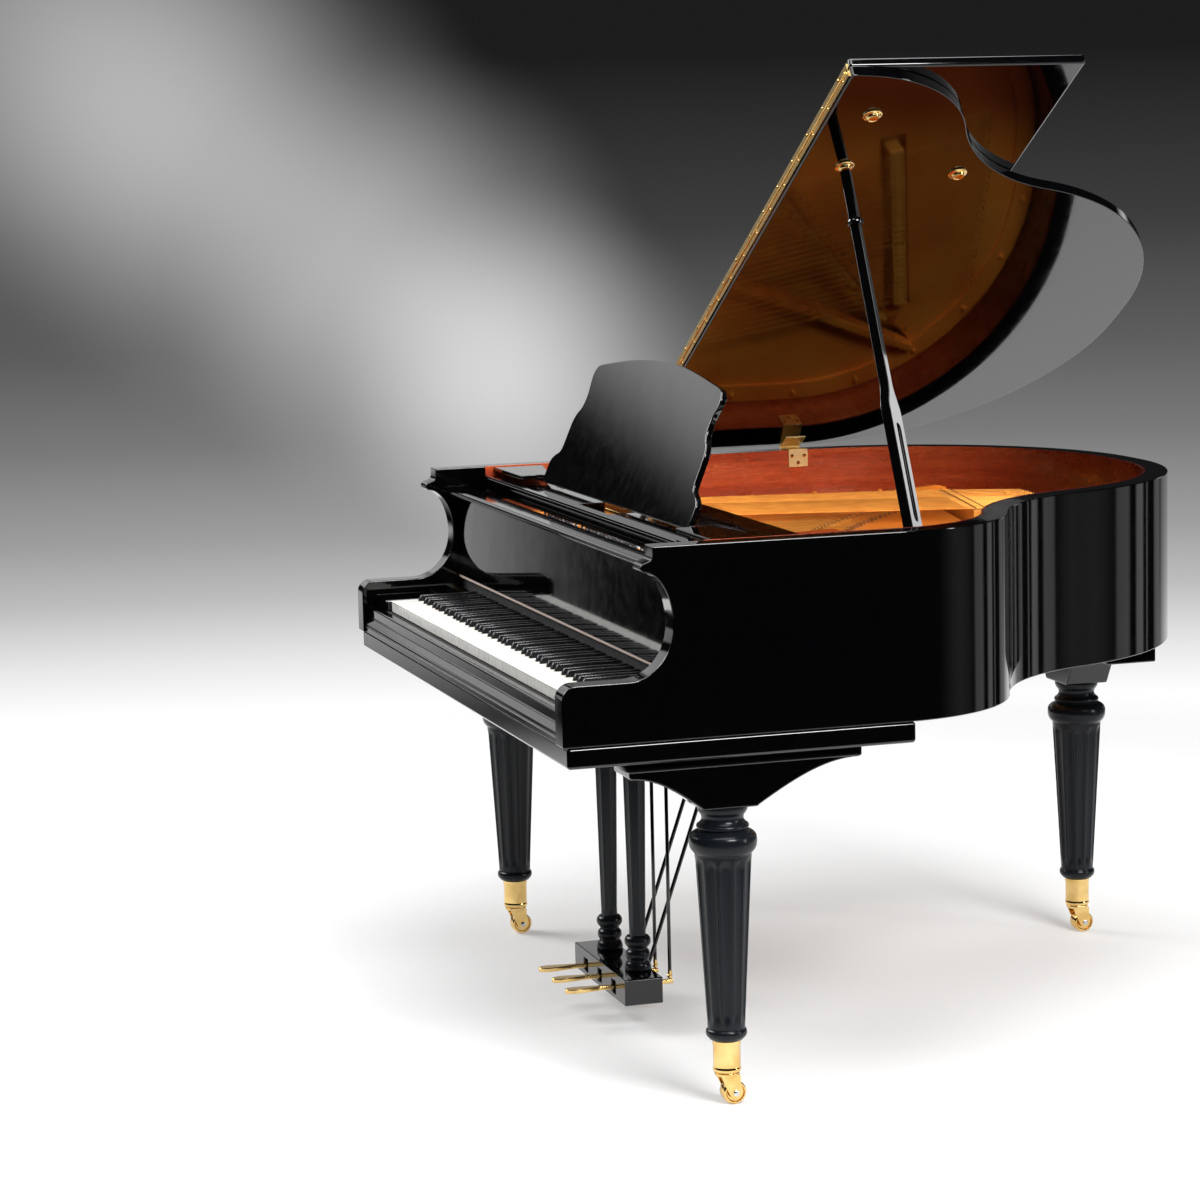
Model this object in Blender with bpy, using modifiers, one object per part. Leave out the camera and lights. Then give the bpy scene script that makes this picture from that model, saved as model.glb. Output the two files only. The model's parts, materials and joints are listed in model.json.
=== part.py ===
"""A five foot baby grand piano, open, with its lid resting on the long prop.

Metres, +Z up. The design frame has X towards the treble, Y towards the tail, y = 0 at the
front of the keybed and z = 0 on the floor. One empty, "piano", then moves the whole
instrument so that the origin is under the middle of its box, on the floor.
"""
from math import atan2, cos, hypot, pi, radians, sin, sqrt

import bmesh
import bpy
from mathutils import Matrix, Vector

# Clearances
FIT = 0.0003
KEY_GAP = 0.0010
SWING_GAP = 0.0015

# Case
CASE_WIDTH = 1.500
PLAN = CASE_WIDTH / 1.500
RIM_WALL = 0.045
RIM_TOP = 0.991
RIM_BOTTOM = 0.660
KEYBED_BOTTOM = 0.623
KEYBED_DEPTH = 0.627
KEYBED_INSET = 0.002
SIDE_STRAIGHT = 0.608
BENDS = ((0.296 * PLAN, radians(67.6), 1), (0.412 * PLAN, radians(49.8), -1),
         (0.521 * PLAN, radians(72.2), 1))
TAIL_RUN = 0.056 * PLAN
TAIL_RADIUS = 0.530 * PLAN
BEND_STEP = radians(7.0)
ARM_FRONT = -0.008
ARM_TOP = 0.765
ARM_NOSE_RADIUS = 0.026
ARM_FLAT_END = 0.110
ARM_HOLLOW = 0.190
ARM_HOLLOW_Z = 0.855
ARM_SCROLL = 0.138
ARM_SCROLL_Z = 0.948
ARM_TOP_Y = 0.156
LINING = 0.003
LINING_TOP = 0.986
LINING_START = 0.262
INNER_RIM = 0.055
INNER_RIM_BOTTOM = 0.668
BELLY_RAIL_Y = 0.590
BELLY_RAIL = 0.034
SOUNDBOARD_BOTTOM = 0.855
SOUNDBOARD = 0.008
BRACE_ENDS = ((0.30 * PLAN, 0.33), (0.05 * PLAN, 0.56), (-0.30 * PLAN, 0.72))
RIB_WIDTH = 0.024
RIB_DEPTH = 0.020

# Keyboard
KEY_PITCH = 0.0235
KEY_FRONT = 0.030
KEY_HEAD_END = 0.080
KEY_JOIN = 0.212
KEY_TAIL_END = 0.420
SHARP_END = 0.190
OCTAVES = 7
KEY_TOP = 0.735
KEY_BOTTOM = 0.713
SHARP_WIDTH = 0.0105
SHARP_TOP = 0.747
SHARP_SLOPE = 0.005
BALANCE_Y = 0.260
FRONT_RAIL = (0.045, 0.085, 0.690)
ACTION_SLACK = 0.0045
KEYSLIP_TOP = 0.707
KEYSLIP_BACK = 0.020
BLOCK_BACK = 0.196
BLOCK_TOP = 0.736

# Fallboard, stretcher and pin block
FALL_HINGE_Y = 0.205
FALL_HINGE_Z = 0.768
FALL_BARREL = 0.0055
FALL_PIN = 0.0035
FALL_BOARD = 0.016
FALL_TOP = 0.953
FALL_LIP_Y = 0.175
FALL_LIP = 0.013
STRETCHER_Y = 0.2245
STRETCHER = 0.021
STRETCHER_BOTTOM = 0.775
STRETCHER_TOP = 0.940
PIN_BLOCK_Y = 0.2470
PIN_BLOCK_END = 0.445
PIN_BLOCK_BOTTOM = 0.845

# Iron plate, strings and bridges
PLATE_BOTTOM = 0.878
PLATE = 0.012
FLANGE_TOP = 0.896
FLANGE_WIDTH = 0.040
PLATE_GAP = 0.004
AGRAFFE_Y = 0.440
SPAN_START = 0.465
SPAN_BEYOND = 0.046
PLAIN_Z = 0.9010
BASS_Z = 0.9175
PLAIN_RADIUS = 0.0008
BASS_RADIUS = 0.0014
STRUT_WIDTH = 0.014
STRUT_TOP = 0.9145
NOTE_COUNT = 88
BASS_NOTES = 26
SECTION_STARTS = (26, 53, 71)
SECTION_GAPS = (0.060, 0.026, 0.026)
STRING_SPAN = 1.200
TOP_STRING = 0.054
STRING_GROWTH = 1.0445
TENOR_LEAN = radians(22.0)
BASS_LEAN = (radians(-12.0), radians(-16.0))
BASS_SPEAKING = (0.760, 0.700)
HITCH_AFTER = 0.070
BASS_STRING = 0.920
BRIDGE_WIDTH = 0.030
DAMPER_COUNT = 66
DAMPER_Y = 0.515
DAMPER_LENGTH = 0.026
DAMPER_WIRE = 0.0018
DAMPER_TRAY_Z = 0.800
DAMPER_WIDTH = 0.0095
DAMPER_HEIGHT = 0.020

# Lid
LID_ANGLE = radians(30.67)
LID_PIVOT_OUT = 0.0035
LID_GAP = 0.0035
LID = 0.0200
LID_FRONT = 0.606
LID_OVERHANG = 0.004
FLAP = 0.0195
FLAP_HINGE_Y = 0.603
FLAP_DEPTH = 0.449
HINGE_BARREL = 0.0030
PIANO_HINGE = 0.0024
LID_HINGE_PLACES = (SIDE_STRAIGHT + 0.072, SIDE_STRAIGHT + 0.347 * PLAN)
LID_HINGE_LENGTH = 0.045
LEAF = 0.0015
LEAF_DROP = 0.036
PLATE_SEAT = 0.0013

# Props
PROP_INSET = 0.082
PROP_BASE = Vector((CASE_WIDTH / 2 - PROP_INSET, SIDE_STRAIGHT + 0.054, 0.960))
PROP_CUP = (1.197 * PLAN, SIDE_STRAIGHT + 0.083)
SPARE_CUPS = ((1.374 * PLAN, SIDE_STRAIGHT + 0.078), (1.159 * PLAN, SIDE_STRAIGHT + 0.319 * PLAN))
CUP_RADIUS = 0.018
CUP_HEIGHT = 0.009
PROP_FOLD = Vector((-0.780, 0.620, -0.010))
PROP_WIDE = 0.052
PROP_SLIM = 0.018
PROP_THICK = 0.018
PROP_SHOULDER = 0.250
SHORT_PROP = 0.170
SHORT_PROP_FOOT = 0.052
SHORT_PROP_WIDTH = 0.014

# Music desk
DESK_FRONT = 0.250
DESK_SHELF_END = 0.335
DESK_NOTCH_Y = 0.281
DESK_REAR = 0.492
DESK_REAR_RAIL = 0.057
DESK_CLEARANCE = 0.0114
DESK_SIDE = 0.065
DESK_BOTTOM = 0.9485
DESK_TOP = 0.972
DESK_RAIL_FACE = 0.976
DESK_LIP = 0.004
GUIDE_UNDER = 0.050
DESK_HINGE_Y = 0.330
DESK_HINGE_Z = 0.986
DESK_LEAN = radians(22.8)
DESK_PANEL = 0.012
STRUT_AT = 0.080
STRUT_HALF = 0.090
STRUT_THICK = 0.006
GUIDE_END = 0.600

# Legs and casters
FRONT_LEG_INSET = 0.072
FRONT_LEG_Y = 0.295
TAIL_LEG = (-0.238 * PLAN, SIDE_STRAIGHT + 0.780 * PLAN)
LEG_TOP = 0.530
BRACKET_HALF = 0.052
BRACKET_REACH = 0.235
FLUTES = 12
FLUTE_DEPTH = 0.10
SHAFT_TOP = (0.445, 0.0495)
SHAFT_BOTTOM = (0.137, 0.0320)
WHEEL_RADIUS = 0.0215
WHEEL_WIDTH = 0.027
WHEEL_STEPS = 16
FORK_CHEEK = 0.004
FORK_TOP = 0.0587
TRAIL = 0.010

# Lyre and pedals
LYRE_COLUMN_X = 0.090
LYRE_Y = 0.322
LYRE_BOX = ((-0.165, 0.272, 0.048), (0.165, 0.347, 0.098))
PEDAL_PITCH = 0.090
PEDAL_PIVOT = (0.312, 0.069)
PEDAL_TIP_Y = 0.176
PEDAL_THICK = 0.008
PEDAL_ROD_Y = 0.385
PEDAL_ROD_RADIUS = 0.0035
PEDAL_DIP = radians(5.3)
ROD_TOP = 0.645
BRACE_X = 0.040
BRACE_KNEE = (0.368, 0.118)
BRACE_TOP_Y = 0.545
BRACE_RADIUS = 0.0038

INNER_HALF = CASE_WIDTH / 2 - RIM_WALL
INSIDE_HALF = INNER_HALF - LINING - 2 * FIT
DESK_HALF = INSIDE_HALF - DESK_CLEARANCE
GUIDE_X = DESK_HALF - GUIDE_UNDER
FRONT_LEG_X = CASE_WIDTH / 2 - FRONT_LEG_INSET


def fresh_scene():
    """Empty the scene and make one collection for the piano and one for the cutters."""
    for old in list(bpy.data.objects):
        bpy.data.objects.remove(old, do_unlink=True)
    made = []
    for name in ("piano", "cutters"):
        collection = bpy.data.collections.new(name)
        bpy.context.scene.collection.children.link(collection)
        made.append(collection)
    return made


PIANO, CUTTERS = fresh_scene()


def finish(name, colour, roughness, metallic=0.0, coat=0.0):
    """A Principled material with the colour, roughness and metal of one surface."""
    made = bpy.data.materials.new(name)
    made.use_nodes = True
    shader = made.node_tree.nodes["Principled BSDF"]
    shader.inputs["Base Color"].default_value = (*colour, 1.0)
    shader.inputs["Roughness"].default_value = roughness
    shader.inputs["Metallic"].default_value = metallic
    shader.inputs["Coat Weight"].default_value = coat
    made.diffuse_color = (*colour, 1.0)
    return made


EBONY = finish("polished_ebony", (0.012, 0.012, 0.014), 0.08, coat=1.0)
MAHOGANY = finish("mahogany_veneer", (0.36, 0.08, 0.03), 0.25, coat=0.6)
MAPLE = finish("maple", (0.50, 0.33, 0.18), 0.45)
SPRUCE = finish("spruce", (0.72, 0.47, 0.22), 0.35, coat=0.4)
IRON_GOLD = finish("gilded_iron", (0.80, 0.52, 0.18), 0.32, metallic=0.8)
BRASS = finish("polished_brass", (0.85, 0.62, 0.28), 0.18, metallic=1.0)
STEEL = finish("string_steel", (0.62, 0.62, 0.64), 0.25, metallic=1.0)
COPPER = finish("copper_winding", (0.62, 0.32, 0.18), 0.35, metallic=1.0)
IVORY = finish("white_keytop", (0.86, 0.85, 0.80), 0.22, coat=0.5)
FELT = finish("damper_felt", (0.04, 0.04, 0.045), 0.80)


def add(name, mesh, surface, place=(0.0, 0.0, 0.0), turn=(0.0, 0.0, 0.0), cutter=False):
    """Put a mesh or curve in the scene, as a piece of the piano or as a cutter."""
    piece = bpy.data.objects.new(name, mesh)
    piece.location = place
    piece.rotation_euler = turn
    (CUTTERS if cutter else PIANO).objects.link(piece)
    if cutter:
        piece.hide_render = True
        piece.display_type = "WIRE"
    elif surface is not None:
        mesh.materials.clear()
        mesh.materials.append(surface)
    return piece


def shade(mesh, sharp=radians(32.0)):
    mesh.shade_smooth()
    mesh.set_sharp_from_angle(angle=sharp)


def welded(curve_object):
    """Turn a curve object into a closed mesh object with its caps joined on."""
    view = bpy.context.evaluated_depsgraph_get()
    mesh = bpy.data.meshes.new_from_object(curve_object.evaluated_get(view))
    body = bmesh.new()
    body.from_mesh(mesh)
    bmesh.ops.remove_doubles(body, verts=body.verts, dist=0.00001)
    bmesh.ops.dissolve_limit(body, angle_limit=0.002, verts=body.verts, edges=body.edges)
    bmesh.ops.recalc_face_normals(body, faces=body.faces)
    body.to_mesh(mesh)
    body.free()
    shade(mesh)
    name, matrix = curve_object.name, curve_object.matrix_world.copy()
    owner = curve_object.users_collection[0]
    hidden, surface = curve_object.hide_render, list(curve_object.data.materials)
    bpy.data.objects.remove(curve_object, do_unlink=True)
    solid = bpy.data.objects.new(name, mesh)
    mesh.name = name
    mesh.materials.clear()
    for used in surface:
        mesh.materials.append(used)
    solid.matrix_world = matrix
    owner.objects.link(solid)
    if hidden:
        solid.hide_render = True
        solid.display_type = "WIRE"
    return solid


def flat_curve(name, outlines, thickness):
    """A filled flat curve of one or more closed outlines, thickened about its own plane."""
    curve = bpy.data.curves.new(name, "CURVE")
    curve.dimensions = "2D"
    curve.fill_mode = "BOTH"
    curve.extrude = thickness / 2
    for outline in outlines:
        spline = curve.splines.new("POLY")
        spline.points.add(len(outline) - 1)
        for point, (x, y) in zip(spline.points, outline):
            point.co = (x, y, 0.0, 1.0)
        spline.use_cyclic_u = True
    return curve


def slab(name, outlines, low, high, surface=None, cutter=False):
    """Outlines seen from above, filled from height low to height high."""
    curve = flat_curve(name, outlines, high - low)
    return welded(add(name, curve, surface, (0.0, 0.0, (low + high) / 2), cutter=cutter))


def moulding(name, profile, left, right, surface=None, cutter=False):
    """A profile of (y, z) points, carried along X from left to right."""
    curve = flat_curve(name, [profile], right - left)
    middle = ((left + right) / 2, 0.0, 0.0)
    return welded(add(name, curve, surface, middle, (pi / 2, 0.0, pi / 2), cutter))


def box(name, low, high, surface=None, cutter=False, rounding=0.0):
    """A block between two opposite corners, with its edges rounded if asked."""
    mesh = bpy.data.meshes.new(name)
    body = bmesh.new()
    bmesh.ops.create_cube(body, size=1.0)
    size = [b - a for a, b in zip(low, high)]
    bmesh.ops.scale(body, vec=size, verts=body.verts)
    body.to_mesh(mesh)
    body.free()
    middle = [(a + b) / 2 for a, b in zip(low, high)]
    piece = add(name, mesh, surface, middle, cutter=cutter)
    if rounding:
        bevel(piece, rounding)
    return piece


def boxes(name, corners, surface=None, cutter=False):
    """Several separate blocks in one mesh."""
    mesh = bpy.data.meshes.new(name)
    body = bmesh.new()
    for low, high in corners:
        size = [b - a for a, b in zip(low, high)]
        middle = [(a + b) / 2 for a, b in zip(low, high)]
        matrix = Matrix.Translation(middle) @ Matrix.Diagonal((*size, 1.0))
        bmesh.ops.create_cube(body, size=1.0, matrix=matrix)
    body.to_mesh(mesh)
    body.free()
    return add(name, mesh, surface, cutter=cutter)


def bevel(piece, width, segments=1, angle=radians(50.0)):
    rounding = piece.modifiers.new("rounded edges", "BEVEL")
    rounding.width = width
    rounding.segments = segments
    rounding.limit_method = "ANGLE"
    rounding.angle_limit = angle
    rounding.use_clamp_overlap = True
    return piece


def turned(name, profile, steps, surface=None, place=(0.0, 0.0, 0.0), turn=(0.0, 0.0, 0.0),
           cutter=False):
    """A lathe-turned solid: (radius, height) points, top to bottom, spun about local Z."""
    mesh = bpy.data.meshes.new(name)
    points = [(radius, 0.0, height) for radius, height in profile]
    edges = [(i, i + 1) for i in range(len(points) - 1)]
    mesh.from_pydata(points, edges, [])
    piece = add(name, mesh, surface, place, turn, cutter)
    lathe = piece.modifiers.new("lathe", "SCREW")
    lathe.steps = steps
    lathe.render_steps = steps
    lathe.use_merge_vertices = True
    lathe.merge_threshold = 0.00001
    lathe.use_smooth_shade = True
    return piece


def rod(name, points, radius, surface=None, fineness=2, cutter=False):
    """A round bar along straight runs between points."""
    curve = bpy.data.curves.new(name, "CURVE")
    curve.dimensions = "3D"
    curve.bevel_depth = radius
    curve.bevel_resolution = fineness
    curve.use_fill_caps = True
    spline = curve.splines.new("POLY")
    spline.points.add(len(points) - 1)
    for point, place in zip(spline.points, points):
        point.co = (*place, 1.0)
    return welded(add(name, curve, surface, cutter=cutter))


def boolean(piece, tool, operation, solver="EXACT"):
    cut = piece.modifiers.new(f"{operation.lower()} {tool.name}", "BOOLEAN")
    cut.operation = operation
    cut.solver = solver
    cut.object = tool
    return piece


def cut_by(piece, *tools):
    for tool in tools:
        boolean(piece, tool, "DIFFERENCE")
    return piece


def joined(piece, *tools):
    """Fuse tool shapes, made as cutters, into one solid with the piece."""
    for tool in tools:
        boolean(piece, tool, "UNION")
    return piece


def pivot(name, place, turn=(0.0, 0.0, 0.0), parent=None):
    """An empty on a joint's axis, which carries what moves there."""
    empty = bpy.data.objects.new(name, None)
    empty.empty_display_size = 0.05
    empty.location = place
    empty.rotation_euler = turn
    empty.parent = parent
    PIANO.objects.link(empty)
    return empty


def hang(carrier, *pieces):
    """Parent pieces modelled in the design frame to a carrier that stands in it."""
    bpy.context.view_layer.update()
    for piece in pieces:
        piece.parent = carrier
        piece.matrix_parent_inverse = carrier.matrix_world.inverted()


def ride(carrier, *pieces):
    """Parent pieces modelled in the carrier's own frame to it."""
    for piece in pieces:
        piece.parent = carrier


# Plan of the case

def case_path(start=ARM_FRONT):
    """Points and inward normals along the outside of the rim, treble front to bass front."""
    place = Vector((CASE_WIDTH / 2, start))
    heading = pi / 2
    path = [(place.copy(), heading)]
    place = Vector((CASE_WIDTH / 2, SIDE_STRAIGHT))
    bends = (*BENDS, None, (TAIL_RADIUS, pi / 2, 1))
    for bend in bends:
        path.append((place.copy(), heading))
        if bend is None:
            place = place + Vector((-TAIL_RUN, 0.0))
            continue
        radius, angle, side = bend
        centre = place + radius * side * Vector((-sin(heading), cos(heading)))
        spoke = place - centre
        count = round(angle / BEND_STEP)
        for step in range(1, count + 1):
            turn = side * angle * step / count
            place = centre + Matrix.Rotation(turn, 2) @ spoke
            if step < count:
                path.append((place.copy(), heading + turn))
        heading += side * angle
    path.append((place.copy(), heading))
    path.append((Vector((-CASE_WIDTH / 2, start)), heading))
    return path


def case_line(inset, start=ARM_FRONT):
    """The case outline moved inwards by an inset, from treble front to bass front."""
    return [point + inset * Vector((-sin(heading), cos(heading)))
            for point, heading in case_path(start)]


def band(outer, inner, start):
    """The open U between two insets of the case outline."""
    return case_line(outer, start) + case_line(inner, start)[::-1]


def inside(inset, start):
    """The whole floor within the case outline moved inwards."""
    return case_line(inset, start)


TAIL_Y = max(point.y for point in case_line(0.0))
LID_PIVOT = Vector((-CASE_WIDTH / 2 - LID_PIVOT_OUT, 0.0, RIM_TOP + LID_GAP))
LID_STACK = LID + FLAP + 2 * FIT
LOW_X = LID_PIVOT.x - LID_STACK * sin(LID_ANGLE) + LID_PIVOT_OUT * cos(LID_ANGLE)
ORIGIN = Vector(((LOW_X + CASE_WIDTH / 2) / 2, (ARM_FRONT + TAIL_Y + LID_OVERHANG) / 2, 0.0))
CASE = pivot("piano_frame", (0.0, 0.0, 0.0))


# Rim, keybed and the woodwork inside the case

def arm_profile():
    """The cheek seen from the side: nose, arm, hollow and scroll, up to the rim top."""
    nose = [(ARM_FRONT + ARM_NOSE_RADIUS * (1 - cos(a)), ARM_TOP - ARM_NOSE_RADIUS * (1 - sin(a)))
            for a in (0.0, pi / 6, pi / 3, pi / 2)]
    rise = [(ARM_FLAT_END + (ARM_HOLLOW - ARM_FLAT_END) * sin(a),
             ARM_HOLLOW_Z - (ARM_HOLLOW_Z - ARM_TOP) * cos(a))
            for a in (pi * i / 10 for i in range(6))]
    scroll = [(ARM_SCROLL + (ARM_HOLLOW - ARM_SCROLL) * cos(a),
               ARM_HOLLOW_Z + (ARM_SCROLL_Z - ARM_HOLLOW_Z) * sin(a))
              for a in (pi * i / 10 for i in range(1, 6))]
    crown = [(ARM_SCROLL - 0.004, ARM_SCROLL_Z + 0.004), (ARM_SCROLL - 0.002, ARM_SCROLL_Z + 0.012),
             (ARM_TOP_Y - 0.003, ARM_SCROLL_Z + 0.020), (ARM_TOP_Y, ARM_SCROLL_Z + 0.026),
             (ARM_TOP_Y, RIM_TOP + 0.050)]
    return nose + rise + scroll + crown


def make_rim():
    half = CASE_WIDTH / 2 + 0.020
    rim = slab("outer_rim", [band(0.0, RIM_WALL, ARM_FRONT)], RIM_BOTTOM + FIT, RIM_TOP, EBONY)
    above = arm_profile()
    above = [(ARM_FRONT - 0.050, above[0][1])] + above + [(ARM_FRONT - 0.050, RIM_TOP + 0.050)]
    cut_by(rim, moulding("above_the_arms", above, -half, half, cutter=True))
    bevel(rim, 0.0022)
    lining = slab("rim_lining", [band(RIM_WALL + FIT, RIM_WALL + LINING + FIT, LINING_START)],
                  SOUNDBOARD_BOTTOM + SOUNDBOARD + FIT, LINING_TOP, MAHOGANY)
    return [rim, lining]


def make_keybed():
    half = CASE_WIDTH / 2 - KEYBED_INSET
    bed = box("keybed", (-half, 0.0, KEYBED_BOTTOM), (half, KEYBED_DEPTH, RIM_BOTTOM), EBONY,
              rounding=0.004)
    for side in (-1, 0, 1):
        hole = turned(f"rod_hole_{side + 1}", [(0.0, 0.1), (0.007, 0.1), (0.007, -0.1), (0.0, -0.1)],
                      8, place=(side * PEDAL_PITCH, PEDAL_ROD_Y, RIM_BOTTOM), cutter=True)
        cut_by(bed, hole)
    face = [(KEYSLIP_BACK, RIM_BOTTOM + FIT), (KEYSLIP_BACK, KEYSLIP_TOP), (0.011, KEYSLIP_TOP),
            (0.006, KEYSLIP_TOP - 0.002), (0.004, KEYSLIP_TOP - 0.007), (0.004, 0.678),
            (-0.001, 0.676), (-0.005, 0.672), (-0.006, 0.668), (-0.005, 0.664),
            (0.0, RIM_BOTTOM + FIT)]
    slip = moulding("keyslip", face, -INNER_HALF + FIT, INNER_HALF - FIT, EBONY)
    start = 26 * KEY_PITCH + ACTION_SLACK
    front = KEYSLIP_BACK + FIT
    blocks = []
    for name, side in (("bass", -1), ("treble", 1)):
        near, far = sorted((side * start, side * (INNER_HALF - FIT)))
        blocks.append(box(f"key_block_{name}", (near, front, RIM_BOTTOM + FIT),
                          (far, BLOCK_BACK, BLOCK_TOP), EBONY, rounding=0.003))
    return [bed, slip, *blocks]


def make_inner_frame():
    """Inner rim, belly rail and braces, glued up as one frame under the soundboard."""
    top = SOUNDBOARD_BOTTOM - FIT
    outer = RIM_WALL + FIT
    start = BELLY_RAIL_Y
    frame = slab("inner_rim", [band(outer, outer + INNER_RIM, start)], INNER_RIM_BOTTOM, top, MAPLE)
    half = INNER_HALF - FIT - 0.001
    belly = box("belly_rail", (-half, start, INNER_RIM_BOTTOM),
                (half, start + BELLY_RAIL, top), cutter=True)
    joined(frame, belly)
    ring = case_line(outer + INNER_RIM / 2)
    near_y = start + BELLY_RAIL / 2
    for number, (near_x, share) in enumerate(BRACE_ENDS):
        near, far = Vector((near_x, near_y)), ring[round(share * (len(ring) - 1))]
        run = (far - near).length
        brace = box(f"brace_{number}", (-0.021, -run / 2, 0.0), (0.021, run / 2, 0.085), cutter=True)
        brace.location = (*((near + far) / 2), INNER_RIM_BOTTOM + 0.060)
        brace.rotation_euler = (0.0, 0.0, atan2(near.x - far.x, far.y - near.y))
        joined(frame, brace)
    return frame


RIB_ENDS = (((-0.56, 0.74), (-0.10, 0.66)), ((-0.59, 0.90), (0.26, 0.75)),
            ((-0.60, 1.05), (0.22, 0.90)), ((-0.55, 1.19), (0.16, 1.06)),
            ((-0.46, 1.31), (0.08, 1.21)))


def make_soundboard():
    """The soundboard, with its ribs below and its two bridges above, glued into one."""
    outline = inside(RIM_WALL + 2 * FIT, BELLY_RAIL_Y)
    top = SOUNDBOARD_BOTTOM + SOUNDBOARD
    board = slab("soundboard", [outline], SOUNDBOARD_BOTTOM, top, SPRUCE)
    for number, ends in enumerate(RIB_ENDS):
        near, far = [(x * PLAN, SIDE_STRAIGHT + (y - 0.608) * PLAN) for x, y in ends]
        run = hypot(far[0] - near[0], far[1] - near[1])
        rib = box(f"rib_{number}", (-run / 2, -RIB_WIDTH / 2, -RIB_DEPTH), (run / 2, RIB_WIDTH / 2, 0.002),
                  cutter=True)
        rib.rotation_euler = (0.0, 0.0, atan2(far[1] - near[1], far[0] - near[0]))
        middle = Vector(((near[0] + far[0]) / 2, (near[1] + far[1]) / 2, SOUNDBOARD_BOTTOM))
        rib.location = middle + rib.location
        joined(board, rib)
    for name, notes, seat in (("long_bridge", LONG_BRIDGE_NOTES, PLAIN_Z - PLAIN_RADIUS),
                              ("bass_bridge", BASS_BRIDGE_NOTES, BASS_Z - BASS_RADIUS)):
        line = strip(bridge_line(notes, 0.0), BRIDGE_WIDTH / 2)
        joined(board, slab(name, [line], top - 0.003, seat - FIT, cutter=True))
    return board


# Strings: where each note's string starts, how it leans and how long it is

def string_start(note):
    """X of a note's string at the agraffe line, with a gap before each new section."""
    gaps = sum(gap for first, gap in zip(SECTION_STARTS, SECTION_GAPS) if note >= first)
    pitch = (STRING_SPAN - sum(SECTION_GAPS)) / (NOTE_COUNT - 1)
    return -STRING_SPAN / 2 + pitch * note + gaps


def string_lean(note):
    """Angle of a string from +Y, positive towards the bass side."""
    if note < BASS_NOTES:
        share = note / (BASS_NOTES - 1)
        return BASS_LEAN[0] + share * (BASS_LEAN[1] - BASS_LEAN[0])
    return TENOR_LEAN * (NOTE_COUNT - 1 - note) / (NOTE_COUNT - 1 - BASS_NOTES)


def speaking_length(note):
    if note < BASS_NOTES:
        share = note / (BASS_NOTES - 1)
        return BASS_SPEAKING[0] + share * (BASS_SPEAKING[1] - BASS_SPEAKING[0])
    return TOP_STRING * STRING_GROWTH ** (NOTE_COUNT - 1 - note)


def along_string(note, distance):
    """The point a distance behind the agraffe line on a note's string, seen from above."""
    lean = string_lean(note)
    return Vector((string_start(note) - distance * sin(lean), AGRAFFE_Y + distance * cos(lean)))


def strip(points, half_width):
    """The outline of a strip of even width along a line of points."""
    left, right = [], []
    for i, point in enumerate(points):
        ahead = points[min(i + 1, len(points) - 1)] - points[max(i - 1, 0)]
        across = Vector((-ahead.y, ahead.x)).normalized() * half_width
        left.append(point + across)
        right.append(point - across)
    return left + right[::-1]


def bridge_line(notes, beyond, overshoot=0.012):
    """The line of a bridge: the speaking end of every few strings, run on at both ends."""
    line = [along_string(note, speaking_length(note) + beyond) for note in notes]
    first = line[0] + (line[0] - line[1]).normalized() * overshoot
    last = line[-1] + (line[-1] - line[-2]).normalized() * overshoot
    return [first] + line[1:-1] + [last]


LONG_BRIDGE_NOTES = tuple(range(BASS_NOTES, NOTE_COUNT, 6)) + (NOTE_COUNT - 1,)
BASS_BRIDGE_NOTES = (0, 8, 17, BASS_NOTES - 1)


def strut(number, note):
    """A raised bar of the plate in the gap before a section, seen from the side as a bridge."""
    start = (string_start(note - 1) + string_start(note)) / 2
    lean = string_lean(max(note, BASS_NOTES))
    reach = speaking_length(note) + SPAN_BEYOND + 0.045
    low, web = PLAIN_Z + PLAIN_RADIUS + 0.0015, PLATE_BOTTOM + PLATE / 2
    near = 0.118 if number == 0 else 0.008
    side = [(near, web), (near + 0.014, web), (near + 0.026, low), (reach - 0.050, low),
            (reach - 0.038, web), (reach, web), (reach, STRUT_TOP - 0.006), (reach - 0.020, STRUT_TOP),
            (near + 0.010, STRUT_TOP), (near, STRUT_TOP - 0.006)]
    bar = moulding(f"strut_{number}", side, -STRUT_WIDTH / 2, STRUT_WIDTH / 2, cutter=True)
    spin = Matrix.Rotation(lean, 4, "Z")
    bar.matrix_world = Matrix.Translation((start, AGRAFFE_Y, 0.0)) @ spin @ bar.matrix_world
    return bar


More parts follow.
